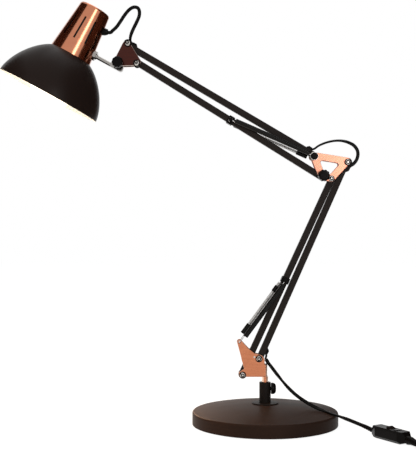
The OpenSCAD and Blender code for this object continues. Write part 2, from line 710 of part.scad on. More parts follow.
// The hooks stand at the side of the curls, so both springs of a pair show side by side
function hook_offset(side) = side > 0 ? -coil_mid_r - 0.4 : 1.5;
pin_hook_r = (spring_pin_d + wire_d) / 2 + 0.35;
function lower_spring(side) = let (p = [tip_hole.x, side * spring_y, tip_hole.y],
    q = [lower_clip.x, side * spring_y, lower_clip.y], a = unit(q - p))
    [p, q, [tip_hole.x, side * tip_y, tip_hole.y] + tip_hook_r * a, tip_hook_r, [0, -side, 0],
        hook_r, lower_coil_start, hook_offset(side) * cross([0, 1, 0], a)];
function upper_spring(side) = let (p = [spring_pin.x, side * spring_y, spring_pin.y],
    q = [upper_clip.x, side * spring_y, upper_clip.y], a = unit(q - p))
    [p, q, p, pin_hook_r, cross(a, [0, 1, 0]), hook_r, upper_coil_start,
        hook_offset(side) * cross([0, 1, 0], a)];
function spring_axis(e) = unit(e[1] - e[0]);
function far_eye(e) = let (a = spring_axis(e)) eye(e[1], -a, cross(a, [0, 1, 0]), e[5]);
function spring_path(e) = let (a = spring_axis(e), l = norm(e[1] - e[0])) concat(
    eye(e[2], a, e[4], e[3]),
    [e[0] + (e[6] - 1.5) * a],
    curl_path(e[0] + e[7], a, cross([0, 1, 0], a), e[6], l - coil_end, curls, coil_mid_r),
    [e[0] + (l - coil_end + 1.5) * a],
    reverse(far_eye(e)));
// Spring that its sleeve hides, with an eye at each end
module sleeved_spring(e) {
    a = spring_axis(e);
    l = norm(e[1] - e[0]);
    b = cross(a, [0, 1, 0]);
    sweep(concat(eye(e[2], a, e[4], e[3]), [e[0] + (e[6] - 1.5) * a, e[0] + (e[6] + 3) * a]),
        wire_d / 2, 6, b);
    sweep(concat(far_eye(e), [e[1] - (coil_end + 3) * a]), wire_d / 2, 6, b);
    translate(e[0] + e[7]) rotate([0, 90 - atan2(a.z, a.x), 0]) translate([0, 0, e[6]])
        cylinder(r = sleeve_d / 2, h = l - e[6] - coil_end);
}
// Sleeve over a spring, from s0 to s1 along it
module sleeve(e, s0, s1) {
    a = unit(e[1] - e[0]);
    translate(e[0] + e[7]) rotate([0, 90 - atan2(a.z, a.x), 0]) translate([0, 0, s0]) difference() {
        cylinder(r = sleeve_d / 2, h = s1 - s0);
        translate([0, 0, -1]) cylinder(r = spring_d / 2 + 0.15, h = s1 - s0 + 2);
    }
}
// The lower spring draws up to 9 mm shorter on its way, so its far sleeve ends short of the clip
far_sleeve_end = 9 + clip_l / 2 + 0.7;
module lower_spring_rear() {
    echo(lower_spring_least_gap = self_gap(spring_path(lower_spring(1)), 6) - wire_d);
    color(steel) sweep(spring_path(lower_spring(1)), wire_d / 2, 6, [0, 0, 1]);
}
module lower_spring_front() { color(black) sleeved_spring(lower_spring(-1)); }
module lower_spring_sleeves() {
    e = lower_spring(1);
    l = norm(e[1] - e[0]);
    color(black) {
        sleeve(e, e[6], e[6] + sleeve_near);
        sleeve(e, l - far_sleeve_end - 10, l - far_sleeve_end);
    }
}

// Elbow
module elbow_outline() {
    corner_r = 3;
    r = strut_w / 2;
    offset(r = -corner_r) offset(delta = corner_r) union() {
        hull() { disc(spring_pin + [0, 1], r); disc(elbow_rear_pivot + [-0.6, 1.6], r); }
        hull() { disc(spring_pin + [0, 1], r); disc(elbow_bolt + [-1.6, 0], r); }
        hull() { disc(elbow_rear_pivot + [-0.6, 1.6], r); disc(elbow_front_pivot, r); }
        hull() { disc(elbow_bolt + [-1.6, 0], r); disc(elbow_front_pivot, r); }
    }
}
module elbow_plate(y0) {
    difference() {
        plate(y0, y0 + plate_t) elbow_outline();
        for (p = [elbow_front_pivot, elbow_rear_pivot])
            along_y(p, screw_r + snug, y0 - 1, y0 + plate_t + 1);
        along_y(spring_pin, spring_pin_d / 2 + snug, y0 - 1, y0 + plate_t + 1);
        along_y(elbow_bolt, bolt_d / 2 + snug, y0 - 1, y0 + plate_t + 1);
    }
}
module elbow_plate_front() { color(copper) elbow_plate(-plate_out); }
module elbow_plate_rear() { color(copper) elbow_plate(plate_in); }
module elbow_screws() {
    color(steel) for (p = [elbow_front_pivot, elbow_rear_pivot])
        pivot_screw(p, screw_r, screw_head_d / 2, washer_out, washer_out);
}
small_washer_d = 9.4;
module elbow_washers() {
    color(black) {
        pivot_washers(elbow_rear_pivot);
        pair_y() {
            ring_y(elbow_front_pivot, small_washer_d / 2, screw_r + snug, plate_out, washer_out);
            ring_y(elbow_front_pivot, small_washer_d / 2, screw_r + snug, bar_w / 2 + run_gap, plate_in);
            ring_y(spring_pin, washer_d / 2, spring_pin_d / 2 + snug, bar_w / 2 + run_gap, plate_in);
            ring_y(elbow_bolt, small_washer_d / 2, bolt_d / 2 + snug, bar_w / 2 + run_gap, plate_in);
        }
    }
}
cap_y = spring_y + 2;
cap_h = 4;
knob_y = plate_out + 2.6;
module elbow_pins() {
    color(steel) {
        // The spring pin, with a collar outside each plate
        along_y(spring_pin, spring_pin_d / 2, -cap_y - 2, cap_y + 2);
        pair_y() ring_y(spring_pin, cap_d / 2 + 0.6, spring_pin_d / 2 - eps, -cap_y, -cap_y + 0.7);
        // The elbow's clamp bolt, with a stand-off under the knob and a head behind
        along_y(elbow_bolt, bolt_d / 2, -knob_y - elbow_knob_h * 0.6, plate_out + eps);
        ring_y(elbow_bolt, bolt_d / 2 + 2, bolt_d / 2 - eps, -knob_y, -plate_out);
        along_y(elbow_bolt, bolt_d * 0.9, plate_out, plate_out + 3);
    }
}
module elbow_pin_caps() {
    color(black) pair_y() at(spring_pin) translate([0, -cap_y, 0]) rotate([90, 0, 0]) difference() {
        rotate_extrude() polygon(concat([[0, 0], [cap_d / 2, 0]],
            arc([cap_d / 2 - 2, cap_h - 2], 2, 0, 90, 6), [[0, cap_h]]));
        translate([0, 0, -1]) cylinder(r = spring_pin_d / 2 + snug, h = 3 + snug);
    }
}
module clamp_knob(p, d, h) {
    color(black) at(p) translate([0, -knob_y - 0.1, 0]) rotate([90, 0, 0]) difference() {
        lobed_knob(d, h, 10);
        translate([0, 0, -1]) cylinder(r = bolt_d / 2 + snug, h = h * 0.6 + 1.1);
    }
}
module elbow_knob() { clamp_knob(elbow_bolt, elbow_knob_d, elbow_knob_h); }
module cable_elbow_loop() {
    color(black) sweep(elbow_loop_path, cord_section, 12, [0, 1, 0]);
}

// Upper arm
module upper_bar_top() {
    color(dark) difference() {
        arm_bar(upper_top);
        along_y(spring_pin, spring_pin_d / 2 + play, -bar_w, bar_w);
        channel(upper_top, upper_in_at, upper_out_at);
    }
}
module upper_cable() {
    color(black) bar_cable(upper_top, upper_in_at + 1, upper_out_at - 1);
}
module upper_cable_grommets() {
    color(black) {
        bar_grommet(upper_top, upper_in_at, -1);
        bar_grommet(upper_top, upper_out_at, 1);
    }
}
module upper_bar_bottom() {
    color(dark) difference() {
        arm_bar(upper_bottom);
        along_y(elbow_bolt, bolt_d / 2 + play, -bar_w, bar_w);
    }
}
module upper_spring_clip() {
    color(black) spring_clip(upper_clip, upper_arm_angle);
}
module upper_spring_rear() {
    echo(upper_spring_least_gap = self_gap(spring_path(upper_spring(1)), 6) - wire_d);
    color(steel) sweep(spring_path(upper_spring(1)), wire_d / 2, 6, [0, 0, 1]);
}
module upper_spring_front() { color(black) sleeved_spring(upper_spring(-1)); }
module upper_sleeves_near() {
    e = upper_spring(1);
    color(black) sleeve(e, e[6], e[6] + sleeve_near);
}
module upper_sleeves_far() {
    e = upper_spring(1);
    l = norm(e[1] - e[0]);
    color(black) sleeve(e, l - coil_end - sleeve_near, l - coil_end);
}

// Head bracket
module head_outline() {
    hull() {
        disc(head_top_pivot + [-2, -2.2], 6.2);
        disc(head_low_pivot + [1.4, 1.8], 5.2);
        disc(tilt_bolt + [0, 2.4], 6.6);
    }
}
module head_plate(y0) {
    difference() {
        plate(y0, y0 + plate_t) head_outline();
        for (p = [head_top_pivot, head_low_pivot])
            along_y(p, screw_r + snug, y0 - 1, y0 + plate_t + 1);
        along_y(tilt_bolt, bolt_d / 2 + snug, y0 - 1, y0 + plate_t + 1);
    }
}
module head_plate_front() { color(dark_copper) head_plate(-plate_out); }
module head_plate_rear() { color(dark_copper) head_plate(plate_in); }
module head_screws() {
    color(steel) {
        for (p = [head_top_pivot, head_low_pivot])
            pivot_screw(p, screw_r, screw_head_d / 2, washer_out, washer_out);
        along_y(tilt_bolt, bolt_d / 2, -knob_y - head_knob_h * 0.6, plate_out + eps);
        ring_y(tilt_bolt, bolt_d / 2 + 2, bolt_d / 2 - eps, -knob_y, -plate_out);
        along_y(tilt_bolt, bolt_d * 0.9, plate_out, plate_out + 3);
    }
}
tilt_washer_d = 12;
module head_washers() {
    color(black) {
        for (p = [head_top_pivot, head_low_pivot]) pivot_washers(p);
        pair_y() ring_y(tilt_bolt, tilt_washer_d / 2, bolt_d / 2 + snug, bar_w / 2 + run_gap, plate_in);
    }
}
module head_knob() { clamp_knob(tilt_bolt, head_knob_d, head_knob_h); }
module cable_head_loop() {
    color(black) sweep(head_loop_path, cord_section, 12, [0, 1, 0]);
}

// Head link and everything that swivels on it; drawn in the shade's own frame, rim at z = 0
boss_d = 15;
boss_out = 34.4;
rod_end = neck_r(rod_z) - neck_wall - 3.2;
module along_rod(r, x0, x1) {
    translate([x0, 0, rod_z]) rotate([0, 90, 0]) cylinder(r = r, h = x1 - x0);
}
module head_link() {
    lug_r = 8.6;
    color(steel) head_frame() difference() {
        union() {
            along_rod(rod_d / 2, rod_end, tilt_x - 6);
            along_rod(rod_d / 2 + 1.6, rod_end, rod_end + 2.4);
            along_rod(rod_d / 2 + 1.4, boss_out + 0.1, boss_out + 2.1);
            rotate([90, 0, 0]) translate([0, 0, -bar_w / 2]) linear_extrude(bar_w) hull() {
                translate([tilt_x, tilt_z]) circle(r = lug_r, $fn = 32);
                translate([tilt_x - 8, rod_z]) circle(r = rod_d / 2, $fn = 32);
                translate([tilt_x + 6, rod_z + 1]) circle(r = 4, $fn = 32);
            }
        }
        translate([tilt_x, 0, tilt_z]) rotate([90, 0, 0]) translate([0, 0, -bar_w])
            cylinder(r = bolt_d / 2 + play, h = 2 * bar_w);
    }
}
module neck_outer(grow) {
    translate([0, 0, shade_h]) cylinder(r1 = neck_d / 2 + grow, r2 = neck_top_d / 2 + grow, h = neck_h);
}
module neck_boss() {
    color(steel) head_frame() difference() {
        along_rod(boss_d / 2, neck_r(rod_z) - 2, boss_out);
        neck_outer(snug);
        along_rod(rod_d / 2 + play, 0, tilt_x);
    }
}
neck_edge_r = 3;
neck_dome = 2;
lip_h = 1.6;
slot_z = shade_h + neck_h * 0.516;
module neck_cup() {
    top = shade_h + neck_h;
    r_top = neck_top_d / 2;
    color(copper) head_frame() difference() {
        rotate_extrude($fn = 96) polygon(concat(
            [[neck_d / 2 - neck_wall, shade_h], [neck_d / 2, shade_h]],
            [[neck_r(top - neck_edge_r), top - neck_edge_r]],
            arc([r_top - neck_edge_r, top - neck_edge_r], neck_edge_r, 15, 80, 5),
            [[r_top / 2, top + neck_dome * 0.7], [0, top + neck_dome]],
            [[0, top + neck_dome - neck_wall], [r_top - neck_edge_r, top - neck_wall]],
            [[neck_r(top - neck_edge_r) - neck_wall, top - neck_edge_r]]));
        for (i = [0:slots - 1]) rotate(360 * (i + 0.375) / slots)
            translate([0, -slot_w / 2, slot_z - slot_l / 2]) cube([neck_d, slot_w, slot_l]);
        along_rod(rod_d / 2 + play, 0, tilt_x);
        at_gland() translate([0, 0, -8]) cylinder(r = gland_hole_r, h = 14);
    }
}
rim_lip = 1.6;
function shade_curve(inset) = bezier([shade_d / 2 - inset, 0], [shade_d / 2 - 2.5 - inset, 26],
    [56 - inset, 58 - inset * 0.6], [neck_d / 2, shade_h - inset], 18);
module shade() {
    color(dark) head_frame() rotate_extrude($fn = 120) polygon(concat(
        shade_curve(0),
        [[neck_d / 2 - 6, shade_h], [neck_d / 2 - 6, shade_h - shade_wall]],
        reverse(shade_curve(shade_wall))));
}
holder_top = shade_h + 58;
holder_low = shade_h - 8;
module lampholder() {
    ring_r = neck_d / 2 - 3;
    color(black) head_frame() difference() {
        union() {
            translate([0, 0, holder_low]) cylinder(r = holder_d / 2, h = holder_top - holder_low);
            translate([0, 0, shade_h + snug]) cylinder(r = ring_r, h = 2.4);
            translate([0, 0, shade_h - shade_wall - 3]) cylinder(r = ring_r - 1, h = 3 - snug);
            translate([0, 0, holder_top - eps]) cylinder(r = 6, h = neck_h + shade_h - holder_top - 0.2);
        }
        translate([0, 0, holder_low - 1]) cylinder(r = bulb_cap_d / 2 + 0.5, h = 29);
    }
}
bulb_cap_z = holder_low - 1.4;
module bulb_glass() {
    r = bulb_d / 2;
    throat_r = bulb_cap_d / 2 - 0.6;
    color(white) head_frame() rotate_extrude($fn = 96) polygon(concat(
        [[0, bulb_z - r]], arc([0, bulb_z], r, -84, 38, 22),
        bezier([r * cos(38), bulb_z + r * sin(38)], [r * cos(38) - 7, bulb_z + r * sin(38) + 10],
            [throat_r, bulb_cap_z - 14], [throat_r, bulb_cap_z], 8),
        [[0, bulb_cap_z]]));
}
module bulb_cap() {
    thread = 0.6;
    pitch = 3.4;
    color(brass) head_frame() rotate_extrude($fn = 48) polygon(concat(
        [[0, bulb_cap_z]],
        [for (i = [0:12]) [bulb_cap_d / 2 - (i % 2) * thread, bulb_cap_z + 0.3 + i * pitch / 2]],
        [[bulb_cap_d / 2 - 4, bulb_cap_z + 6.6 * pitch], [4, bulb_cap_z + 7.2 * pitch]],
        [[0, bulb_cap_z + 7.2 * pitch]]));
}
gland_hole_r = 3.6;
module at_gland() {
    translate(gland_at) rotate([0, 90 - gland_rise, 0]) children();
}
module cable_gland() {
    color(black) head_frame() difference() {
        union() {
            at_gland() translate([0, 0, -3]) cylinder(r = gland_hole_r - snug, h = 4);
            difference() {
                at_gland() translate([0, 0, -3]) cylinder(r = 5.4, h = 6);
                neck_outer(snug);
            }
            at_gland() translate([0, 0, 2.9]) cylinder(r1 = 5.4, r2 = 4, h = gland_out - 2.9);
        }
        at_gland() translate([0, 0, -8]) cylinder(r = cord_w / 2 + snug, h = 20);
    }
}

// Mains cord, inline switch and plug
// Points between the given ones, on a smooth curve through them
function smooth(p, n) = [for (i = [0:len(p) - 2]) let (
        a = p[max(i - 1, 0)], b = p[i], c = p[i + 1], d = p[min(i + 2, len(p) - 1)])
    for (k = [0:(i == len(p) - 2 ? n : n - 1)]) let (t = k / n)
        b + 0.5 * t * ((c - a) + t * ((2 * a - 5 * b + 4 * c - d) + t * (3 * b - a - 3 * c + d)))];
module cord_runs() {
    color(black) {
        sweep(cord_to_switch_path, cord_section, 12, [0, 1, 0]);
        sweep(cord_to_coil_path, cord_section, 12, [1, 0, 0]);
        sweep(cord_to_plug_path, cord_section, 12, [1, 0, 0]);
    }
}
// Spiral in on the bottom layer, out again on the layer above; the climb is the middle half turn
coil_steps = 24;
function coil_point(t) =
    let (half = coil_turns / 2, in = min(t, coil_turns - t), climb = (t - half) * 2 + 0.5)
    [coil_centre.x + (coil_r - coil_pitch * in) * sin(360 * t),
     coil_centre.y - (coil_r - coil_pitch * in) * cos(360 * t),
     cord_t / 2 + coil_layer * min(max(climb, 0), 1)];
coil_path = [for (i = [0:coil_turns * coil_steps]) coil_point(i / coil_steps)];
module cord_coil() {
    echo(coil_least_gap = self_gap(coil_path, 8) - cord_t);
    echo(coil_length = path_length(coil_path));
    echo(cord_length = path_length(cord_to_switch_path) + norm(switch_out - switch_in)
        + path_length(cord_to_coil_path) + path_length(coil_path) + path_length(cord_to_plug_path));
    color(black) sweep(coil_path, cord_section, 8, [0, 1, 0]);
}
switch_l = norm(switch_out - switch_in);
switch_angle = atan2(switch_out.y - switch_in.y, switch_out.x - switch_in.x);
rocker_l = 20;
rocker_w = 11;
rocker_at = switch_l * 0.58;
module switch_frame() { translate([switch_in.x, switch_in.y, 0]) rotate(switch_angle) children(); }
rocker_pin_r = 1;
module rocker_pin(r, l) {
    translate([rocker_at, -l / 2, switch_h - 2.4]) rotate([-90, 0, 0]) cylinder(r = r, h = l);
}
module switch_body() {
    end_w = 9;
    end_h = 6;
    end_z = 4;
    taper = 13;
    under = 11;
    chamfer = 4;
    color(black) switch_frame() difference() {
        intersection() {
            linear_extrude(switch_h) polygon([
                [0, -end_w / 2], [taper, -switch_w / 2], [switch_l - taper, -switch_w / 2],
                [switch_l, -end_w / 2], [switch_l, end_w / 2], [switch_l - taper, switch_w / 2],
                [taper, switch_w / 2], [0, end_w / 2]]);
            translate([0, switch_w, 0]) rotate([90, 0, 0]) linear_extrude(2 * switch_w) polygon([
                [0, end_z], [under, 0], [switch_l - under, 0], [switch_l, end_z],
                [switch_l, end_z + end_h], [switch_l - 6, switch_h], [6, switch_h],
                [0, end_z + end_h]]);
            rotate([90, 0, 90]) linear_extrude(switch_l) polygon([
                [chamfer - switch_w / 2, 0], [switch_w / 2 - chamfer, 0], [switch_w / 2, chamfer],
                [switch_w / 2, switch_h - 2.5], [switch_w / 2 - 2.5, switch_h],
                [2.5 - switch_w / 2, switch_h], [-switch_w / 2, switch_h - 2.5],
                [-switch_w / 2, chamfer]]);
        }
        translate([rocker_at - rocker_l / 2 - loose_gap, -rocker_w / 2 - loose_gap, switch_h - 7])
            cube([rocker_l + 2 * loose_gap, rocker_w + 2 * loose_gap, 8]);
        rocker_pin(rocker_pin_r + snug, rocker_w + 3.6);
    }
}
module switch_rocker() {
    color(dark) switch_frame() rocker_pin(rocker_pin_r, rocker_w + 3);
    color(dark) switch_frame() translate([rocker_at, 0, switch_h - 3.4]) rotate([90, 0, 0])
        translate([0, 0, -rocker_w / 2]) linear_extrude(rocker_w) polygon([
            [-rocker_l / 2 + 1.4, -1], [rocker_l / 2 - 1.4, -1], [rocker_l / 2 - 0.5, 4.2],
            [0, 3.2], [-rocker_l / 2 + 0.5, 6]]);
}
module plug_body() {
    color(black) translate([plug_at.x, plug_at.y, 0]) rotate(90) difference() {
        union() {
            translate([0, 0, plug_h / 2]) rotate([0, 90, 0]) cylinder(r1 = cord_w / 2 + 1, r2 = 5.4, h = 10);
            translate([8, 0, 0]) linear_extrude(plug_h) offset(r = 4) offset(delta = -4)
                polygon([[0, -7], [10, -plug_w / 2], [plug_l - 8, -plug_w / 2], [plug_l - 8, plug_w / 2],
                    [10, plug_w / 2], [0, 7]]);
        }
    }
}
module plug_pins() {
    color(brass) translate([plug_at.x, plug_at.y, 0]) rotate(90) for (y = [-9.3, 9.3])
        translate([plug_l, y, plug_h / 2]) rotate([0, 90, 0]) union() {
            cylinder(r = pin_d / 2, h = pin_l - 1, $fn = 24);
            translate([0, 0, pin_l - 1]) cylinder(r1 = pin_d / 2, r2 = pin_d / 2 - 0.8, h = 1, $fn = 24);
        }
}

foot_shell();
foot_weight();
foot_pad();
foot_flange();
post_tube();
post_nut();
post_knob();
turret_bracket();
turret_pin();
turret_screws();
turret_washers();
turret_cable_clip();
cable_exit_lead();
lower_bar_rear();
lower_cable();
lower_cable_grommets();
lower_bar_front();
lower_spring_clip();
lower_spring_front();
lower_spring_rear();
lower_spring_sleeves();
elbow_plate_front();
elbow_plate_rear();
elbow_screws();
elbow_washers();
elbow_pins();
elbow_pin_caps();
elbow_knob();
cable_elbow_loop();
upper_bar_top();
upper_cable();
upper_cable_grommets();
upper_bar_bottom();
upper_spring_clip();
upper_spring_front();
upper_spring_rear();
upper_sleeves_near();
upper_sleeves_far();
head_plate_front();
head_plate_rear();
head_screws();
head_washers();
head_knob();
cable_head_loop();
head_link();
neck_boss();
neck_cup();
shade();
lampholder();
bulb_glass();
bulb_cap();
cable_gland();
cord_runs();
switch_body();
switch_rocker();
cord_coil();
plug_body();
plug_pins();
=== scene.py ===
# %% [markdown]
# An architect desk lamp, dressed for its portrait.
# The imported model brings every rigid piece at its true place. This lesson adds what a
# mechanical drawing leaves plain: the twin cable, the coil springs and their sleeves, the spun
# shade with its white inside, and a finish for every piece.
# We load the model first.

# %% The frame and the tools
import bpy
import bmesh
import math
from mathutils import Matrix, Vector


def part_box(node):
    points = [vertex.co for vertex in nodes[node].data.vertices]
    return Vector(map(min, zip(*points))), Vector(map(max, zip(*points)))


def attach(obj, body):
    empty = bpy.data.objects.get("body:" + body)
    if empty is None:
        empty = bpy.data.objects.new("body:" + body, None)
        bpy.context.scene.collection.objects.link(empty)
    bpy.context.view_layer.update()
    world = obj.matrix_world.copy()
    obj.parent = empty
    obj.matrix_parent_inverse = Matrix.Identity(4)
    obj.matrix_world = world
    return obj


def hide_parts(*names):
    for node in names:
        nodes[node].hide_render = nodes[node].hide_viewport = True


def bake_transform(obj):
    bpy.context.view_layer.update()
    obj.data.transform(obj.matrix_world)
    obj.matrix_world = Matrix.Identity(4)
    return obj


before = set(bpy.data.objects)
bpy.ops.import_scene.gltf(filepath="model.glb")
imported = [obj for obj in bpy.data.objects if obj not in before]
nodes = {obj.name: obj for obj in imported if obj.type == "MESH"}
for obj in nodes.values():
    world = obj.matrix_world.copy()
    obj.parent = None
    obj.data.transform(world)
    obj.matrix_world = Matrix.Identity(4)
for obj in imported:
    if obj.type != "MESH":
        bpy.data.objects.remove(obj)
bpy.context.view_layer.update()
scene = bpy.context.scene
print("pieces in the model:", len(nodes))

# %% [markdown]
# The camera. The photograph looks level at the lamp from about a metre and a half, which the thin ellipse of
# the foot's rim shows. A long lens keeps the two arms free of distortion. The camera is placed first.

# %% The camera
camera_data = bpy.data.cameras.new("camera")
camera_data.lens = 79.4
camera_data.sensor_width = 36
camera = bpy.data.objects.new("camera", camera_data)
camera.location = (-0.0855, -1.485, 0.2997)
camera.rotation_euler = (math.radians(90), 0, 0)
scene.collection.objects.link(camera)
scene.camera = camera
print("camera height in m:", camera.location.z)

# %% [markdown]
# The places of the lamp. The lamp was drawn in millimetres from its pivots, and the new
# pieces are fixed to the same pivots, so we write these places down once, in the plane of the
# arms, with x to the right and z up.

# %% Pivots of the arms
def heading(degrees):
    return Vector((math.cos(math.radians(degrees)), 0, math.sin(math.radians(degrees))))


def turned_left(v):
    return Vector((-v.z, 0, v.x))


LOWER_LINK, UPPER_LINK = 34.5 * heading(225), 32.1 * heading(-65.6)
turret_rear = Vector((-9.4, 0, 99.4))
turret_front = turret_rear + LOWER_LINK
tip_hole = turret_front + Vector((-4.6, 0, 48.6))
elbow_rear = turret_rear + 322 * heading(65.7)
elbow_front = elbow_rear + LOWER_LINK
spring_pin = elbow_rear + Vector((-50.4, 0, 8.6))
elbow_bolt = spring_pin + UPPER_LINK
head_top = spring_pin + 325 * heading(148.8)
head_low = head_top + UPPER_LINK
tilt_bolt = head_top + Vector((-14.3, 0, -29.6))
print("elbow at", [round(c, 1) for c in elbow_rear], "head bracket at", [round(c, 1) for c in head_top])

# %% [markdown]
# Each bar carries its two pivot holes a little off its centre line. The cable's grommets and
# the clips of the springs sit along that centre line, so we need points on it.

# %% Points along a bar
BAR, CABLE_RISE, HALF_GROMMET = 9.5, 1.85, 3


def bar_point(bar, distance):
    first, second, offset = bar
    n = turned_left((second - first).normalized())
    start, stop = first + offset * n, second - offset * n
    return start + (stop - start) * (distance / (second - first).length)


def grommet_mouth(bar, distance, way, out):
    """The point out beyond a grommet's mouth; way is 1 along the bar and -1 back along it."""
    u = (bar_point(bar, 1) - bar_point(bar, 0)).normalized()
    beside = bar_point(bar, distance) - (BAR / 2 + CABLE_RISE) * turned_left(u)
    return beside + way * (HALF_GROMMET + out) * u


lower_rear = (turret_rear, elbow_rear, -1.2)
lower_front = (turret_front, elbow_front, 1.2)
upper_top = (spring_pin, head_top, -1.9)
upper_bottom = (elbow_bolt, head_low, 1.9)
lower_clip = bar_point(lower_front, 155)
upper_clip = bar_point(upper_bottom, 161)
print("spring clips at", [round(c, 1) for c in lower_clip], [round(c, 1) for c in upper_clip])

# %% [markdown]
# The head leans by 28.6 degrees. The shade, neck and bulb are round about one axis, so they
# are drawn upright with the rim at height zero, and one matrix leans them into place.

# %% The head's own frame
HEAD_TILT = 28.6
head_x, head_z = heading(-HEAD_TILT), heading(90 - HEAD_TILT)


def head_point(x, z):
    return tilt_bolt + (x - 69.7) * head_x + (z - 92.4) * head_z


def axes_at(x, y, z, place):
    m = Matrix((x, y, z)).transposed().to_4x4()
    m.translation = place
    return m


head_frame = axes_at(head_x, Vector((0, 1, 0)), head_z, head_point(0, 0))


def gland_point(out):
    return head_point(27.66, 124) + out * heading(24.3 - HEAD_TILT)


def ring_point(out):
    return Vector((2.9, 0, 95.4)) + out * heading(-58)


print("rim centre at", [round(c, 1) for c in head_point(0, 0)])

# %% [markdown]
# One tool for everything that is drawn out long: cable, spring wire, sleeve, strain relief.
# A ring is made once, then extruded from station to station, and each new ring is turned
# into its station's own axes. That is how an extruder's die travels along the work. It could
# be a Blender curve with a bevel, but only our own axes let the flat cable twist where we
# choose.

# %% Drawing a ring along a path
MM = Matrix.Scale(0.001, 4)


def tangents(points):
    """The way a path runs at each of its points."""
    last = len(points) - 1
    return [(points[min(i + 1, last)] - points[max(i - 1, 0)]).normalized() for i in range(last + 1)]


def stations(points, across, scales=None):
    """Axes at each point: along the path, and the profile's wide side towards across."""
    result = []
    for i, (p, t) in enumerate(zip(points, tangents(points))):
        a = across[i] - across[i].dot(t) * t
        a.normalize()
        size = scales[i] if scales else 1
        result.append(axes_at(a, t.cross(a), t, p) @ Matrix.Scale(size, 4))
    return result


def draw_along(profile, places, hollow=False):
    """A bmesh drawn from ring to ring, capped at its ends unless it is hollow."""
    bm = bmesh.new()
    bmesh.ops.create_circle(bm, segments=len(profile), radius=1)
    for v, (x, y) in zip(bm.verts, profile):
        v.co = (x, y, 0)
    bmesh.ops.transform(bm, matrix=places[0], verts=bm.verts)
    first = edges = bm.edges[:]
    for before, after in zip(places, places[1:]):
        grown = bmesh.ops.extrude_edge_only(bm, edges=edges)["geom"]
        ring = [g for g in grown if isinstance(g, bmesh.types.BMVert)]
        edges = [g for g in grown if isinstance(g, bmesh.types.BMEdge)]
        bmesh.ops.transform(bm, matrix=after @ before.inverted(), verts=ring)
    if not hollow:
        bmesh.ops.holes_fill(bm, edges=first, sides=0)
        bmesh.ops.holes_fill(bm, edges=edges, sides=0)
    bmesh.ops.recalc_face_normals(bm, faces=bm.faces)
    return bm


def carried(points, first):
    """Sideways directions that are carried along a path without twisting."""
    result, a = [], first
    for t in tangents(points):
        a = (a - a.dot(t) * t).normalized()
        result.append(a)
    return result


def smoothed(points, n):
    """More points on a smooth curve through the given ones."""
    result = []
    for i in range(len(points) - 1):
        a, b = points[max(i - 1, 0)], points[i]
        c, d = points[i + 1], points[min(i + 2, len(points) - 1)]
        for k in range(n):
            t = k / n
            result.append(b + 0.5 * t * ((c - a) + t * ((2 * a - 5 * b + 4 * c - d)
                                                        + t * (3 * b - a - 3 * c + d))))
    return result + [points[-1]]


def distances(points):
    """How far along a path each of its points lies."""
    result = [0.0]
    for a, b in zip(points, points[1:]):
        result.append(result[-1] + (b - a).length)
    return result


def nearest(at, distance):
    """The number of the point nearest to a distance along the path."""
    return min(range(len(at)), key=lambda i: abs(at[i] - distance))


def circle(radius, sides):
    return [(radius * math.cos(2 * math.pi * k / sides), radius * math.sin(2 * math.pi * k / sides))
            for k in range(sides)]


print("tools ready")

# %% [markdown]
# Every new piece leaves the bench the same way: its bmesh, drawn in millimetres, becomes a
# mesh in metres whose object stays at the origin, is shaded smooth and gets its finish.
# Finishes come later in the lesson, so a piece keeps the name of its finish for now.

# %% Turning a bmesh into a piece
waiting_for_finish = []


def into_scene(name, bm):
    """Turns a bmesh in metres into an object of the scene."""
    mesh = bpy.data.meshes.new(name)
    bm.to_mesh(mesh)
    bm.free()
    obj = bpy.data.objects.new(name, mesh)
    scene.collection.objects.link(obj)
    return obj


def piece(name, bm, finish_names, smooth=True, place=Matrix.Identity(4)):
    """Turns a bmesh in millimetres into a piece of the lamp, at its place."""
    bmesh.ops.transform(bm, matrix=MM @ place, verts=bm.verts)
    for f in bm.faces:
        f.smooth = smooth
    obj = into_scene(name, bm)
    waiting_for_finish.append((obj, finish_names))
    return obj


def metres(point):
    return tuple(c / 1000 for c in point)


print("bench ready")

# %% [markdown]
# The cable. It is a flat twin: two insulated cores side by side under one skin, 5.3 mm wide
# and 3.1 mm thick, with a groove down each face. Seen from the side it looks thick or thin as
# it twists, and that is how the photograph shows it. So the profile is two lobes, and every
# stretch says which way its wide side looks.

# %% The twin cable's profile
CORD_WIDE, CORD_THICK = 5.3, 3.1


def twin_profile(wide, thick, points=7):
    lobe = thick / 2
    centre = wide / 2 - lobe
    meet = 180 - math.degrees(math.acos(centre / lobe))
    outline = []
    for side, middle in ((0, centre), (180, -centre)):
        for k in range(points + 1):
            a = math.radians(side - meet + 2 * meet * k / (points + 1) + meet / (points + 1))
            outline.append((middle + lobe * math.cos(a), lobe * math.sin(a)))
    return outline


twin = twin_profile(CORD_WIDE, CORD_THICK)


def eased(value, keys):
    """A smooth step from key to key: pairs of place and value."""
    if value <= keys[0][0]:
        return keys[0][1]
    for (s0, v0), (s1, v1) in zip(keys, keys[1:]):
        if value <= s1:
            t = (value - s0) / (s1 - s0)
            return v0 + (v1 - v0) * t * t * (3 - 2 * t)
    return keys[-1][1]


print("points round the cable:", len(twin))

# %% [markdown]
# The free cord is one length of 1.76 m: out of the ring on the turret, down over the foot,
# through the switch, and wound into a flat coil of two layers beside the plug. It twists as it
# hangs, lies flat on the foot's dome, stands on edge past the rim, and lies flat on the table.

# %% Route of the free cord
COIL_TURNS, TURN_STEPS = 7.25, 36
COIL_X, COIL_Y, COIL_OUTER = 264, -120, 40
LYING, LAYER = 1.6, 3.65


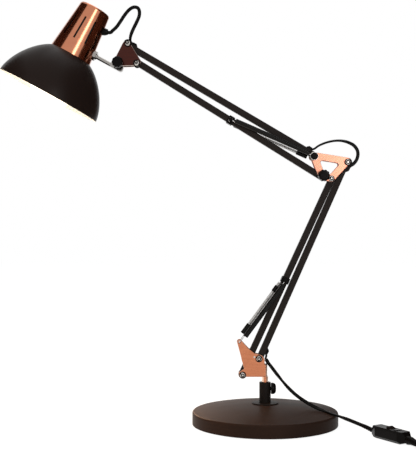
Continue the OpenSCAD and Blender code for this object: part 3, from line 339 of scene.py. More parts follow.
def coil_point(t):
    """The point after t turns: inwards on the table, then outwards again one layer up."""
    radius = COIL_OUTER - 5.5 * min(t, COIL_TURNS - t)
    climb = min(max((t - COIL_TURNS / 2) * 2 + 0.5, 0), 1)
    a = 2 * math.pi * t
    return Vector((COIL_X + radius * math.sin(a), COIL_Y - radius * math.cos(a), LYING + LAYER * climb))


to_switch = [ring_point(0.25), ring_point(4)] + [Vector(p) for p in [
    (10.4, -1.5, 85.2), (16.2, -3.4, 77.6), (22.4, -5.5, 69.9), (29.2, -8.4, 61.8), (36.5, -11.5, 54.2),
    (43.4, -14, 48), (50.6, -16.5, 42.6), (59.8, -19.5, 36.9), (70, -23, 31.4), (78.4, -26.4, 27.8),
    (86.3, -30, 25.5), (95.4, -38, 23.2), (102.6, -45, 21.8), (110.2, -52, 20), (119.8, -58, 17.2),
    (129.4, -64.2, 14.1), (138.8, -70.4, 11), (145, -75.8, 8.7), (149.8, -80.7, 7)]]
through_switch = [Vector(p) for p in [(159.3, -96.3, 5.6), (168.5, -111.5, 5), (177.8, -126.8, 5.8)]]
to_coil = [Vector(p) for p in [
    (187.2, -142.3, 7), (190.2, -147, 6.6), (194.8, -153.4, 4.8), (201.4, -159.8, 2.8), (210, -165.2, 1.8),
    (220, -168.6, 1.6), (231, -169.4, 1.6), (242.5, -167, 1.6), (253.5, -162.5, 1.6)]]
coil = [coil_point(i / TURN_STEPS) for i in range(int(COIL_TURNS * TURN_STEPS) + 1)]
to_plug = [Vector(p) for p in [(304, -112, 5.3), (304.4, -104, 6), (305, -96, 6.8), (305.4, -88, 7)]]
cord_line = (smoothed(to_switch + through_switch + to_coil, 3)[:-1]
             + smoothed([to_coil[-1], coil[0]], 2)[1:-1]
             + coil
             + smoothed([coil[-1]] + to_plug, 3)[1:])
cord_at = distances(cord_line)
print("cord length in mm:", round(cord_at[-1], 1))

# %% The free cord
def cord_across(points, at, keys):
    """The wide side's direction: level where the angle is 0, upright where it is 90."""
    result = []
    for t, distance in zip(tangents(points), at):
        level = Vector((-t.y, t.x, 0)).normalized()
        a = math.radians(eased(distance, keys))
        result.append(math.cos(a) * level + math.sin(a) * t.cross(level))
    return result


cord_twist = [(0, 50), (24, 50), (37, 5), (56, 55), (73, 90), (86, 85), (104, 40), (116, 8), (141, 0),
              (160, 80), (172, 88), (196, 10), (215, 0)]
cord_places = stations(cord_line, cord_across(cord_line, cord_at, cord_twist))
mains_cord = piece("mains_cord", draw_along(twin, cord_places), ["cord"])
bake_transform(mains_cord)
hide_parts("cord_runs", "cord_coil")
print("faces of the cord:", len(mains_cord.data.polygons))

# %% [markdown]
# Where a mains lead enters a housing, a tapered sleeve keeps it from kinking. These are
# moulded soft, with a few ribs, and follow the lead. The same tool draws them: a round ring
# that grows towards the housing, with its ribs as small steps in size.

# %% Strain reliefs at the switch and the plug
RELIEF_THIN, RELIEF_STEPS, RIB = 2.75, 26, 0.25


def strain_relief(name, start, stop, thick):
    """A ribbed taper over the cord from one distance to another; its thick end is at stop."""
    points, sizes = [], []
    for k in range(RELIEF_STEPS + 1):
        s = start + (stop - start) * k / RELIEF_STEPS
        i = nearest(cord_at, s)
        i = min(i, len(cord_at) - 2) if cord_at[i] <= s or i == 0 else i - 1
        f = (s - cord_at[i]) / max(cord_at[i + 1] - cord_at[i], 1e-9)
        points.append(cord_line[i].lerp(cord_line[i + 1], f))
        rib = RIB if k % 4 in (2, 3) and 3 < k < RELIEF_STEPS - 2 else 0.0
        sizes.append(RELIEF_THIN + (thick - RELIEF_THIN) * k / RELIEF_STEPS + rib)
    bm = draw_along(circle(1, 20), stations(points, carried(points, Vector((0, 0, 1))), sizes))
    obj = piece(name, bm, ["moulded_black"])
    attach(obj, "base")
    return obj


def distance_at(place):
    """How far along the cord a place on it lies."""
    return cord_at[min(range(len(cord_line)), key=lambda i: (cord_line[i] - place).length)]


enter, leave, cord_end = distance_at(to_switch[-1]), distance_at(to_coil[0]), cord_at[-1]
relief_in = strain_relief("switch_relief_in", enter - 21, enter + 2, 3.2)
relief_out = strain_relief("switch_relief_out", leave + 21, leave - 2, 6.2)
relief_plug = strain_relief("plug_relief", cord_end - 23.5, cord_end, 4.4)
print("strain reliefs made")

# %% [markdown]
# The held loops. Between the arms and the head the cable crosses each joint in a free loop, long enough for
# the whole swing. Each loop is cut where it follows a joint's middle body.

# %% Loops at the head and the elbow, and the lead to the turret
SIDEWAYS = Vector((0, 1, 0))


def above(pivot, offsets):
    return [pivot + Vector((x, 0, z)) for x, z in offsets]


def held_loop(node, names, points, keys, cuts, bodies):
    """A held loop of the twin cable, cut at the given distances into the named pieces."""
    at = distances(points)
    across = []
    for t, distance in zip(tangents(points), at):
        a = math.radians(eased(distance, keys))
        across.append(math.cos(a) * SIDEWAYS + math.sin(a) * t.cross(SIDEWAYS))
    places = stations(points, across)
    marks = [0] + [nearest(at, c) for c in cuts] + [len(points) - 1]
    for name, i, j, a, b in zip(names, marks, marks[1:], bodies, bodies[1:]):
        obj = piece(name, draw_along(twin, places[i:j + 1]), ["cord"])
        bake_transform(obj)
        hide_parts(node)
    print(node, "length in mm:", round(at[-1], 1))


head_loop_line = smoothed(
    [gland_point(-6.6), gland_point(8.5)] + above(head_top, [
        (-23.3, 20.6), (-17.1, 26.4), (-11.1, 35), (-5.3, 43.8), (1.3, 51.6), (7.9, 55.6),
        (14.1, 54.8), (16.9, 49.6), (16.4, 42), (12.8, 33.4), (9, 25.6), (5.8, 18.6), (3.8, 12.6),
        (3.1, 7.8), (3.7, 4.4)])
    + [grommet_mouth(upper_top, 316, 1, 1.2), grommet_mouth(upper_top, 316, 1, -3)], 4)
held_loop("cable_head_loop", ["head_loop_gland_side", "head_loop_top", "head_loop_bar_side"],
          head_loop_line, keys=[(0, 90), (104, 90), (136, 0)], cuts=[46, 92],
          bodies=["head", "head_link", "head_bracket", "upper_bar_top"])

elbow_loop_line = smoothed(
    [grommet_mouth(upper_top, 11.5, -1, -3), grommet_mouth(upper_top, 11.5, -1, 1)] + above(spring_pin, [
        (0.7, 11.5), (3.5, 13.3), (6.7, 15.7), (11.8, 18.3), (18.9, 21), (27.3, 23.1), (35.9, 24),
        (44.5, 23.4), (53.1, 20.9), (60.5, 16.7), (65.3, 10.3), (66.6, 3.8), (65.4, -2.6),
        (62.5, -7.9), (59, -11.4), (55.6, -13.4)])
    + [grommet_mouth(lower_rear, 313, 1, 0.8), grommet_mouth(lower_rear, 313, 1, -3)], 4)
held_loop("cable_elbow_loop", ["elbow_loop_upper_side", "elbow_loop_lower_side"], elbow_loop_line,
          keys=[(0, 0), (40, 15), (75, 80), (108, 80), (132, 0)], cuts=[62],
          bodies=["upper_bar_top", "elbow", "lower_bar_rear"])

exit_lead_line = smoothed(
    [grommet_mouth(lower_rear, 14, -1, -3), grommet_mouth(lower_rear, 14, -1, 1)]
    + above(turret_rear, [(11.4, 3.6)]) + [ring_point(-3.6), ring_point(-0.25)], 5)
held_loop("cable_exit_lead", ["turret_lead"], exit_lead_line, keys=[(0, 0), (1, 0)], cuts=[],
          bodies=["lower_bar_rear", "turret"])

# %% [markdown]
# The springs. Each is one steel wire: a hook through its eye, a run of close curls, and a hook
# at the other end. The hooks leave the coil at its side, so the bare coil lies a little below
# the line between its eyes and the sleeved one a little above it, and from the front we see
# both. We work out the wire's centre line by rule and draw a small round ring along it.

# %% A spring's wire
SPRING_Y, WIRE, CURLS, COIL_R = 10, 1.1, 66, 2.55
LOWER_NEAR, UPPER_NEAR, FAR_HOOK, HOOK_NECK = 12.6, 8.4, 7.4, 1.5
LOWER_EYE, UPPER_PIN_EYE, UPPER_CLIP_EYE, TIP_Y = 2.4, 3.4, 3, 8.4


def hook(centre, a, b, radius):
    """Most of a turn of wire round an eye."""
    return [centre + radius * (math.cos(math.radians(100 + 260 * k / 12)) * a
                               + math.sin(math.radians(100 + 260 * k / 12)) * b) for k in range(13)]


def coil_shift(first):
    """How far the coil's axis lies beside the line between its eyes."""
    return -2.95 if first.y > 0 else 1.5


def spring_line(first, second, near_centre, near_radius, near_side, far_radius, coil_from):
    a = (second - first).normalized()
    length = (second - first).length
    n = SIDEWAYS.cross(a)
    shift = coil_shift(first)
    start = -math.copysign(COIL_R, shift)
    curls = []
    steps = CURLS * 12
    for i in range(steps + 1):
        t = 2 * math.pi * CURLS * i / steps
        s = coil_from + (length - FAR_HOOK - coil_from) * i / steps
        curls.append(first + s * a + shift * n + start * (math.cos(t) * n + math.sin(t) * a.cross(n)))
    far = hook(second, -a, a.cross(SIDEWAYS), far_radius)
    return (hook(near_centre, a, near_side, near_radius) + [first + (coil_from - HOOK_NECK) * a] + curls
            + [first + (length - FAR_HOOK + HOOK_NECK) * a] + far[::-1])


def eyes(near, far, side):
    p, q = [Vector((v.x, side * SPRING_Y, v.z)) for v in (near, far)]
    return p, q, (q - p).normalized()


def lower_spring(side):
    """Its two eyes, its near hook's centre, radius and side, its far radius, and its first curl."""
    p, q, a = eyes(tip_hole, lower_clip, side)
    near = Vector((tip_hole.x, side * TIP_Y, tip_hole.z)) + LOWER_EYE * a
    return p, q, near, LOWER_EYE, -side * SIDEWAYS, LOWER_EYE, LOWER_NEAR


def upper_spring(side):
    p, q, a = eyes(spring_pin, upper_clip, side)
    return p, q, p, UPPER_PIN_EYE, a.cross(SIDEWAYS), UPPER_CLIP_EYE, UPPER_NEAR


def move_with_spring(obj, node):
    """The lower springs hang as rigid pieces from the lower springs' body, and the upper ones stay where they
    are drawn.
    """
    if node.startswith("lower"):
        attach(obj, "lower_springs")
    else:
        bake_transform(obj)


def make_spring(name, facts, node):
    line = spring_line(*facts)
    bm = draw_along(circle(WIRE / 2, 8), stations(line, carried(line, Vector((0.1, 1, 0.2)))))
    obj = piece(name, bm, ["spring_wire"])
    move_with_spring(obj, node)
    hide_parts(node)
    print(name, "wire length in mm:", round(distances(line)[-1], 1))


for place, facts in (("lower", lower_spring), ("upper", upper_spring)):
    make_spring(place + "_rear_spring_wire", facts(1), place + "_spring_rear")
    make_spring(place + "_front_spring_wire", facts(-1), place + "_spring_front")

# %% [markdown]
# The springs' sleeves are soft black tubing, pulled over the coils so that no finger is
# pinched. Over a coil such a tube shows the curls as a faint swell, so its rings change size
# a little along the way. It is drawn hollow and then given its wall.

# %% Sleeves over the springs
SLEEVE_R, SLEEVE_WALL = 3.65, 0.36


def make_sleeve(name, facts, start, stop, node, body=None):
    first = facts[0]
    a = (facts[1] - first).normalized()
    beside = coil_shift(first) * SIDEWAYS.cross(a)
    steps = max(20, int((stop - start) / 0.55))
    at = [start + (stop - start) * k / steps for k in range(steps + 1)]
    points = [first + beside + s * a for s in at]
    sizes = []
    for k, s in enumerate(at):
        lip = 0.05 if k < 2 or k > steps - 2 else 0
        swell = 0.04 * math.sin(2 * math.pi * s / 3.1) + 0.04 * math.sin(s / 5.3)
        sizes.append(SLEEVE_R - lip + swell)
    bm = draw_along(circle(1, 28), stations(points, carried(points, SIDEWAYS), sizes), hollow=True)
    bmesh.ops.solidify(bm, geom=bm.faces, thickness=SLEEVE_WALL)
    obj = piece(name, bm, ["sleeve_tubing"])
    if body:
        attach(obj, body)
    else:
        move_with_spring(obj, node)
    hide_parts(node)


low, high = lower_spring(-1), upper_spring(-1)
low_end, high_end = (low[1] - low[0]).length, (high[1] - high[0]).length
make_sleeve("lower_front_sleeve", low, LOWER_NEAR, low_end - FAR_HOOK, "lower_spring_front")
make_sleeve("upper_front_sleeve", high, UPPER_NEAR, high_end - FAR_HOOK, "upper_spring_front")
low, high = lower_spring(1), upper_spring(1)
make_sleeve("lower_rear_sleeve_near", low, LOWER_NEAR, LOWER_NEAR + 17,
            "lower_spring_sleeves", "lower_springs")
make_sleeve("lower_rear_sleeve_far", low, low_end - 24.2, low_end - 14.2,
            "lower_spring_sleeves", "lower_springs")
make_sleeve("upper_rear_sleeve_near", high, UPPER_NEAR, UPPER_NEAR + 17,
            "upper_sleeves_near", "upper_springs")
make_sleeve("upper_rear_sleeve_far", high, high_end - FAR_HOOK - 17, high_end - FAR_HOOK,
            "upper_sleeves_far", "upper_spring_ends")
print("sleeves made")

# %% [markdown]
# The shade is spun from sheet: a disc pressed over a turning former, with its rim rolled
# back on itself. Outside it is a satin black-brown, and inside a matt white that spreads the
# light. We spin the outer line, the rolled rim and the inner line about the head's axis, and
# give the inner faces the white finish.

# %% The spun shade
def bezier(p0, p1, p2, p3, n):
    """A smooth curve in n steps from p0 to p3, which p1 and p2 pull on."""
    result = []
    for k in range(n + 1):
        t = k / n
        weights = ((1 - t) ** 3, 3 * (1 - t) ** 2 * t, 3 * (1 - t) * t * t, t ** 3)
        result.append(tuple(sum(w * p[c] for w, p in zip(weights, (p0, p1, p2, p3))) for c in (0, 1)))
    return result


def spin(bm, line, steps, material=0):
    """Spins a line, given as pairs of radius and height, and gives the new faces one finish."""
    chain = [bm.verts.new((r, 0, z)) for r, z in line]
    edges = [bm.edges.new((a, b)) for a, b in zip(chain, chain[1:])]
    before = len(bm.faces)
    bmesh.ops.spin(bm, geom=chain + edges, cent=(0, 0, 0), axis=(0, 0, 1), angle=2 * math.pi,
                   steps=steps, use_merge=True)
    bm.faces.ensure_lookup_table()
    for f in bm.faces[before:]:
        f.material_index = material


SHADE_R, SHADE_H, NECK_R, ROLL, SHADE_STEPS = 80.5, 70, 32.4, 1.05, 128
OUTSIDE, INSIDE = 0, 1
rim_roll = [(SHADE_R - ROLL + ROLL * math.cos(math.radians(a)), ROLL + ROLL * math.sin(math.radians(a)))
            for a in range(180, 361, 20)]
outer = bezier((SHADE_R, ROLL), (78, 26), (56, 58), (NECK_R, SHADE_H), 40)
inner = bezier((79.5, 0), (77, 26), (55, 57.4), (NECK_R, SHADE_H - 1), 40)
bm = bmesh.new()
spin(bm, rim_roll[6:] + outer[1:] + [(27.2, 70), (26.4, 69.9)], SHADE_STEPS, OUTSIDE)
spin(bm, rim_roll[6::-1] + inner[1:] + [(27.2, 69), (26.4, 69.1), (26.4, 69.9)], SHADE_STEPS, INSIDE)
bmesh.ops.remove_doubles(bm, verts=bm.verts, dist=0.02)
bmesh.ops.recalc_face_normals(bm, faces=bm.faces)
spun_shade = piece("spun_shade", bm, ["shade_outside", "shade_inside"], place=head_frame)
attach(spun_shade, "head")
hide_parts("shade")
print("shade faces:", len(spun_shade.data.polygons))

# %% [markdown]
# Between the lampholder and the neck stands a dark sheet, rolled from thin sheet to the neck's own taper. It
# is painted shade: a dark sheet where the inside of the neck lies in shade, and it is what we see through the
# neck's slots.

# %% A dark sheet in the neck, painted shade
SHEET_WALL = 0.4
bm = bmesh.new()
spin(bm, [(26.3 - SHEET_WALL, 84), (26.3, 84), (20.3, 139), (20.3 - SHEET_WALL, 139),
          (26.3 - SHEET_WALL, 84)], 64)
bmesh.ops.remove_doubles(bm, verts=bm.verts, dist=0.02)
bmesh.ops.recalc_face_normals(bm, faces=bm.faces)
# painted shade: a dark sheet inside the neck, seen through its slots
dark_sheet_in_neck = piece("dark_sheet_in_neck", bm, ["cast_iron"], smooth=False, place=head_frame)
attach(dark_sheet_in_neck, "head")
print("heat shield faces:", len(dark_sheet_in_neck.data.polygons))

# %% [markdown]
# The pivot screws have a groove round the middle of the head, with a black retaining ring
# pressed into it. The ring's flange hides the groove, and leaves a bright button in the middle.
# The pins of the spring clips end in push-on rings as well, so that no hook slips off, and a
# dust washer lies round the inner washers of the elbow's and the head's upper pivots.

# %% Retaining rings, push-on rings and dust washers
RETAINING_RING = [(1.55, 0.02), (2.2, 0.02), (2.2, 0.82), (2.8, 0.82), (2.7, 1), (1.3, 1),
                  (1.2, 0.82), (1.55, 0.82), (1.55, 0.02)]
PUSH_ON_RING = [(1.52, 0), (3.1, 0), (3.1, 0.6), (2.8, 1), (1.52, 1), (1.52, 0)]
DUST_WASHER = [(5.35, 0.05), (6.7, 0.05), (6.7, 0.9), (5.35, 0.9), (5.35, 0.05)]


def turned_rings(name, line, places, finish_name, body):
    """The same small turned piece at several places, each with its upright axis turned."""
    bm = bmesh.new()
    to_the_right = Vector((1, 0, 0))
    for place, up in places:
        before = len(bm.verts)
        spin(bm, line, 32)
        bm.verts.ensure_lookup_table()
        bmesh.ops.transform(bm, verts=bm.verts[before:],
                            matrix=axes_at(to_the_right, up.cross(to_the_right), up, place))
    bmesh.ops.remove_doubles(bm, verts=bm.verts, dist=0.005)
    bmesh.ops.recalc_face_normals(bm, faces=bm.faces)
    obj = piece(name, bm, [finish_name], smooth=False)
    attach(obj, body)


def both_sides(place, out):
    """A place on each side of the arms, facing outwards."""
    return [(Vector((place.x, side * out, place.z)), side * SIDEWAYS) for side in (1, -1)]


for name, pivots, body in (("turret", [turret_rear, turret_front], "turret"),
                           ("elbow", [elbow_rear, elbow_front], "elbow"),
                           ("head", [head_top, head_low], "head_bracket")):
    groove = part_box(name + "_screws")[0].y * 1000 + 0.8
    turned_rings(name + "_retaining_rings", RETAINING_RING,
                 [(Vector((p.x, groove, p.z)), -SIDEWAYS) for p in pivots],
                 "black_nylon_washer", body)
for name, clip, body in (("lower", lower_clip, "lower_bar_front"),
                         ("upper", upper_clip, "upper_bar_bottom")):
    turned_rings(name + "_clip_rings", PUSH_ON_RING, both_sides(clip, 12.3),
                 "moulded_black", body)
for name, pivot, body in (("elbow", elbow_rear, "elbow"), ("head", head_top, "head_bracket")):
    plate_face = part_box(name + "_plate_front")[1].y * 1000
    turned_rings(name + "_dust_washers", DUST_WASHER, both_sides(pivot, plate_face),
                 "black_nylon_washer", body)
print("rings pressed on")

# %% [markdown]
# The plates have sharp corners in the model. On the real lamp they were tumbled, and the thin
# round edge that this leaves draws a bright line round each plate. We merge each plate's mesh,
# bevel its corners by 0.6 mm, or by 0.3 mm on the folded turret, and let the rounded plate
# stand for the plain one.

# %% Rounded edges of the plates
def rounded(node_name, width, finish_name, body, slot_name):
    """A copy of a plate with bevelled corners, which stands for the plate."""
    bm = bmesh.new()
    bm.from_mesh(nodes[node_name].data)
    bmesh.ops.remove_doubles(bm, verts=bm.verts, dist=0.000002)
    bmesh.ops.dissolve_limit(bm, angle_limit=math.radians(1.5), verts=bm.verts, edges=bm.edges)
    corners = [e for e in bm.edges if e.is_manifold and e.calc_face_angle(0) > math.radians(40)]
    bmesh.ops.bevel(bm, geom=corners, offset=width / 1000, segments=2, profile=0.5, affect="EDGES",
                    clamp_overlap=False)
    obj = piece(node_name + "_rounded", bm, [finish_name], smooth=False, place=Matrix.Scale(1000, 4))
    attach(obj, body)
    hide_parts(node_name)
    print(obj.name, "faces:", len(obj.data.polygons))


for plate in (
        ("turret_bracket", 0.3, "copper_plate_turret", "turret", "copper_bright"),
        ("elbow_plate_front", 0.6, "copper_plate_elbow", "elbow", "copper_pale"),
        ("elbow_plate_rear", 0.6, "copper_plate_elbow", "elbow", "copper_pale"),
        ("head_plate_front", 0.6, "copper_plate_head_painted_shade", "head_bracket", "copper_dark"),
        ("head_plate_rear", 0.6, "copper_plate_head_painted_shade", "head_bracket", "copper_dark")):
    rounded(*plate)

# %% [markdown]
# Finishes. Each is a small graph of nodes, made with one function that adds a node with its
# settings and links. Colours are written as they look on a screen and turned to linear light
# once. Nearly every surface of the lamp has the same three layers: a tone that drifts a
# little, a gloss that isn't quite even, and a fine relief. One function lays these three, and
# each finish then says what sets it apart.

# %% Tools for finishes
def to_linear(hex_colour):
    values = [int(hex_colour[i:i + 2], 16) / 255 for i in (1, 3, 5)]
    return tuple(v / 12.92 if v <= 0.04045 else ((v + 0.055) / 1.055) ** 2.4 for v in values) + (1.0,)


def add(tree, kind, inputs=None, **settings):
    """Adds a node. An input that is a socket is linked, and any other value is set."""
    made = tree.nodes.new(kind)
    for key, value in settings.items():
        setattr(made, key, value)
    for key, value in (inputs or {}).items():
        if isinstance(value, bpy.types.NodeSocket):
            tree.links.new(value, made.inputs[key])
        else:
            made.inputs[key].default_value = value
    return made


def finish(name, tones, drift_mm, gloss, grain_mm, relief_mm, stretch=(1, 1, 1), turn=(0, 0, 0),
           **shader_values):
    """Two tones that drift over drift_mm, roughness between the two gloss values, and a relief
    of relief_mm whose grain is grain_mm wide. stretch and turn draw the grain out along a way."""
    material = bpy.data.materials.new(name)
    material.use_nodes = True
    tree = material.node_tree
    shader = tree.nodes["Principled BSDF"]
    place = add(tree, "ShaderNodeTexCoord").outputs["Object"]
    drawn_out = add(tree, "ShaderNodeMapping", {"Vector": place, "Rotation": turn, "Scale": stretch})
    coords = drawn_out.outputs["Vector"]
    slow = add(tree, "ShaderNodeTexNoise", {"Vector": coords, "Scale": 1000 / drift_mm, "Detail": 3.0})
    tone = add(tree, "ShaderNodeMix", {0: slow.outputs["Fac"], 6: to_linear(tones[0]),
                                       7: to_linear(tones[1])}, data_type="RGBA")
    fine = add(tree, "ShaderNodeTexNoise", {"Vector": coords, "Scale": 1000 / grain_mm, "Detail": 4.0,
                                            "Roughness": 0.6})
    both = add(tree, "ShaderNodeMath", {0: slow.outputs["Fac"], 1: fine.outputs["Fac"]}, operation="MULTIPLY")
    uneven = add(tree, "ShaderNodeMapRange", {"Value": both.outputs[0], "From Min": 0.1, "From Max": 0.45,
                                              "To Min": gloss[0], "To Max": gloss[1]})
    bump = add(tree, "ShaderNodeBump", {"Height": fine.outputs["Fac"], "Strength": 1.0,
                                        "Distance": relief_mm / 1000})
    tree.links.new(tone.outputs[2], shader.inputs["Base Color"])
    tree.links.new(uneven.outputs[0], shader.inputs["Roughness"])
    tree.links.new(bump.outputs["Normal"], shader.inputs["Normal"])
    for key, value in shader_values.items():
        shader.inputs[key.replace("_", " ")].default_value = value
    finishes[name] = material
    return tree, shader, tone, bump


finishes = {}
dressing = {}


def dress(name, *node_names):
    """Notes which of the model's own pieces take a finish."""
    for node_name in node_names:
        dressing[node_name] = name


PLAIN = 0.5


def coating(name, tones, drift_mm, gloss, grain_mm, relief_mm, mirror, *node_names):
    """Enamel, plastic, rubber or glass. mirror is how much it mirrors, and PLAIN is usual."""
    made = finish(name, tones, drift_mm, gloss, grain_mm, relief_mm, IOR=1.5, Specular_IOR_Level=mirror)
    dress(name, *node_names)
    return made


def metal(name, tones, drift_mm, gloss, grain_mm, relief_mm, *node_names):
    finish(name, tones, drift_mm, gloss, grain_mm, relief_mm, Metallic=1.0)
    dress(name, *node_names)


print("finish tools ready")

# %% [markdown]
# The foot, post and bars are sheet and tube under a satin enamel, sprayed and stoved: a warm
# black, with the faint orange peel that sprayed enamel dries to. Its grain is about 0.7 mm. The
# bars show fine ribs across them, 2.1 mm apart, left by the drawing of the tube.

# %% Enamel of the foot and the post
coating("satin_enamel_foot", ("#1d130f", "#261a14"), 60, (0.42, 0.54), 0.7, 0.010, 0.04, "foot_shell")
coating("satin_enamel_post", ("#14100e", "#1b1512"), 30, (0.4, 0.52), 0.7, 0.008, 0.06,
        "post_tube", "foot_flange")
print("foot dressed")

# %% Ribbed enamel of the bars
RIB_STEP_M, RIB_RELIEF_M = 0.0021, 0.00006
WAVE_STEP = 0.314159  # how far apart a wave texture's bands lie at a scale of 1


def ribbed_bar(name, angle, lean, node_name):
    """Enamel with ribs across a bar that stands at an angle; lean slants the ribs."""
    tree, shader, _, bump = coating(name, ("#1b1715", "#221d1b"), 30, (0.36, 0.48), 0.7, 0.006, 0.05,
                                    node_name)
    place = add(tree, "ShaderNodeTexCoord").outputs["Object"]
    across_bar = add(tree, "ShaderNodeMapping", {
        "Vector": place, "Rotation": (0, math.radians(angle + lean), 0)})
    ribs = add(tree, "ShaderNodeTexWave", {
        "Vector": across_bar.outputs["Vector"], "Scale": WAVE_STEP / RIB_STEP_M, "Distortion": 0.6,
        "Detail": 1.0, "Detail Scale": 2.0}, wave_type="BANDS", bands_direction="X")
    deeper = add(tree, "ShaderNodeBump", {
        "Height": ribs.outputs["Fac"], "Strength": 1.0, "Distance": RIB_RELIEF_M,
        "Normal": bump.outputs["Normal"]})
    tree.links.new(deeper.outputs["Normal"], shader.inputs["Normal"])


ribbed_bar("ribbed_enamel_lower_rear", 65.3, 28, "lower_bar_rear")
ribbed_bar("ribbed_enamel_lower_front", 66.1, 0, "lower_bar_front")
ribbed_bar("ribbed_enamel_upper_top", 149.5, 0, "upper_bar_top")
ribbed_bar("ribbed_enamel_upper_bottom", 148.1, 0, "upper_bar_bottom")
print("bars dressed")

# %% [markdown]
# The brackets are sheet steel under a bright copper-coloured plating with a clear lacquer. The sheet was
# brushed before it was plated, so its gloss runs in fine lines. Each plate's edge is given a much paler
# colour than its faces. This is a painted highlight for the light that the thin round edges catch, and it
# draws a thin bright outline round each plate. The edge is told from the face by the surface's own direction,
# in the piece's own axes: the faces look along y, and the edges don't. The plating is the same on all three
# brackets. Their different tones are painted light and shade for the parts of the room that they mirror, and
# the head plates' dark tone is painted shade.

# %% Plated sheet
def plated_sheet(name, tones, edge_highlight, gloss, *node_names):
    tree, shader, tone, _ = finish(name, tones, 26, gloss, 0.9, 0.0006, stretch=(1, 1, 9),
                                   turn=(0, 0.5, 0), Metallic=1.0, Coat_Weight=0.35, Coat_Roughness=0.12)
    facing = add(tree, "ShaderNodeSeparateXYZ", {0: add(tree, "ShaderNodeTexCoord").outputs["Normal"]})
    size = add(tree, "ShaderNodeMath", {0: facing.outputs["Y"]}, operation="ABSOLUTE")
    on_face = add(tree, "ShaderNodeMapRange", {"Value": size.outputs[0], "From Min": 0.8, "From Max": 0.97})
    # painted highlight: surfaces that don't face along y take the pale edge colour
    both = add(tree, "ShaderNodeMix", {0: on_face.outputs[0], 6: to_linear(edge_highlight), 7: tone.outputs[2]},
               data_type="RGBA")
    tree.links.new(both.outputs[2], shader.inputs["Base Color"])
    dress(name, *node_names)


# one plating in three tones: painted light and shade for what each bracket mirrors
plated_sheet("copper_plate_turret", ("#b06a48", "#bf7956"), "#f2d3be", (0.26, 0.36), "turret_pin")
plated_sheet("copper_plate_elbow", ("#c98268", "#d38e74"), "#fbe6d8", (0.26, 0.36))
# painted shade: the head plates' dark tone stands for the darker room that they mirror
plated_sheet("copper_plate_head_painted_shade", ("#330c03", "#421407"), "#ecdcd2", (0.26, 0.36))
print("brackets dressed")

# %% [markdown]
# The neck is drawn from copper-plated steel and polished on a lathe, so its fine lines run
# round it. It is the brightest piece of the lamp, and it mirrors the room in long soft bands.
# Its inside takes a near-black colour, as painted shade for the hollow behind its ten slots, so that they
# look black. The inside is told from the outside by the surface's direction: it faces the neck's own axis.

# %% Polished neck
tree, shader, tone, _ = finish(
    "polished_copper_neck", ("#b87456", "#c48061"), 40, (0.13, 0.18), 0.6, 0.0001, stretch=(1, 1, 7),
    turn=(0, math.radians(HEAD_TILT), 0), Metallic=1.0, Coat_Weight=0.2, Coat_Roughness=0.08)
upright = add(tree, "ShaderNodeMapping", {"Vector": add(tree, "ShaderNodeTexCoord").outputs["Object"],
                                          "Location": metres(-head_point(0, 0))}, vector_type="POINT")
beside = add(tree, "ShaderNodeVectorMath", {0: upright.outputs["Vector"], 1: tuple(head_z)},
             operation="CROSS_PRODUCT")
outward = add(tree, "ShaderNodeVectorMath", {0: tuple(head_z), 1: beside.outputs["Vector"]},
              operation="CROSS_PRODUCT")
normal = add(tree, "ShaderNodeTexCoord").outputs["Normal"]
facing = add(tree, "ShaderNodeVectorMath", {0: outward.outputs["Vector"], 1: normal},
             operation="DOT_PRODUCT")
outside = add(tree, "ShaderNodeMapRange", {"Value": facing.outputs["Value"], "From Min": -0.004,
                                           "From Max": 0.0})
# painted shade: surfaces facing the neck's axis take a near-black colour
painted_shade_inside = add(tree, "ShaderNodeMix", {0: outside.outputs[0], 6: to_linear("#140e0c"), 7: tone.outputs[2]},
            data_type="RGBA")
tree.links.new(painted_shade_inside.outputs[2], shader.inputs["Base Color"])
dress("polished_copper_neck", "neck_cup")
print("neck dressed")

# %% [markdown]
# Small metal. Screws and clips are zinc-plated steel, a cool grey with a faint bloom. The
# link, rod and boss are chromed. The springs are hard-drawn wire, dull bright. The bulb's
# cap and the plug's pins are brass, and the weight in the foot is rough cast iron.

# %% Small metal
metal("zinc_plated_steel", ("#b4b0aa", "#c8c5c0"), 6, (0.22, 0.34), 0.3, 0.0006,
      "turret_screws", "elbow_screws", "head_screws", "elbow_pins", "post_nut")
metal("chromed_steel", ("#8f8b87", "#a09c98"), 20, (0.07, 0.16), 0.4, 0.0003, "head_link", "neck_boss")
metal("spring_wire", ("#c4c3c1", "#d6d5d3"), 8, (0.24, 0.38), 0.2, 0.0004)
metal("drawn_brass", ("#b8924a", "#caa45a"), 10, (0.2, 0.34), 0.3, 0.003, "bulb_cap", "plug_pins")
finish("cast_iron", ("#35322f", "#46423e"), 12, (0.6, 0.8), 1.2, 0.12, Metallic=0.7)
dress("cast_iron", "foot_weight")
print("small metal dressed")

# %% [markdown]
# Plastics and rubber. Knobs, caps, washers, grommets, switch and plug are moulded black
# nylon or PVC with a spark-eroded skin, about half a millimetre in grain. The cable's soft PVC is
# glossier, and so are the sleeves. The pad under the foot is rubber, dull and even.

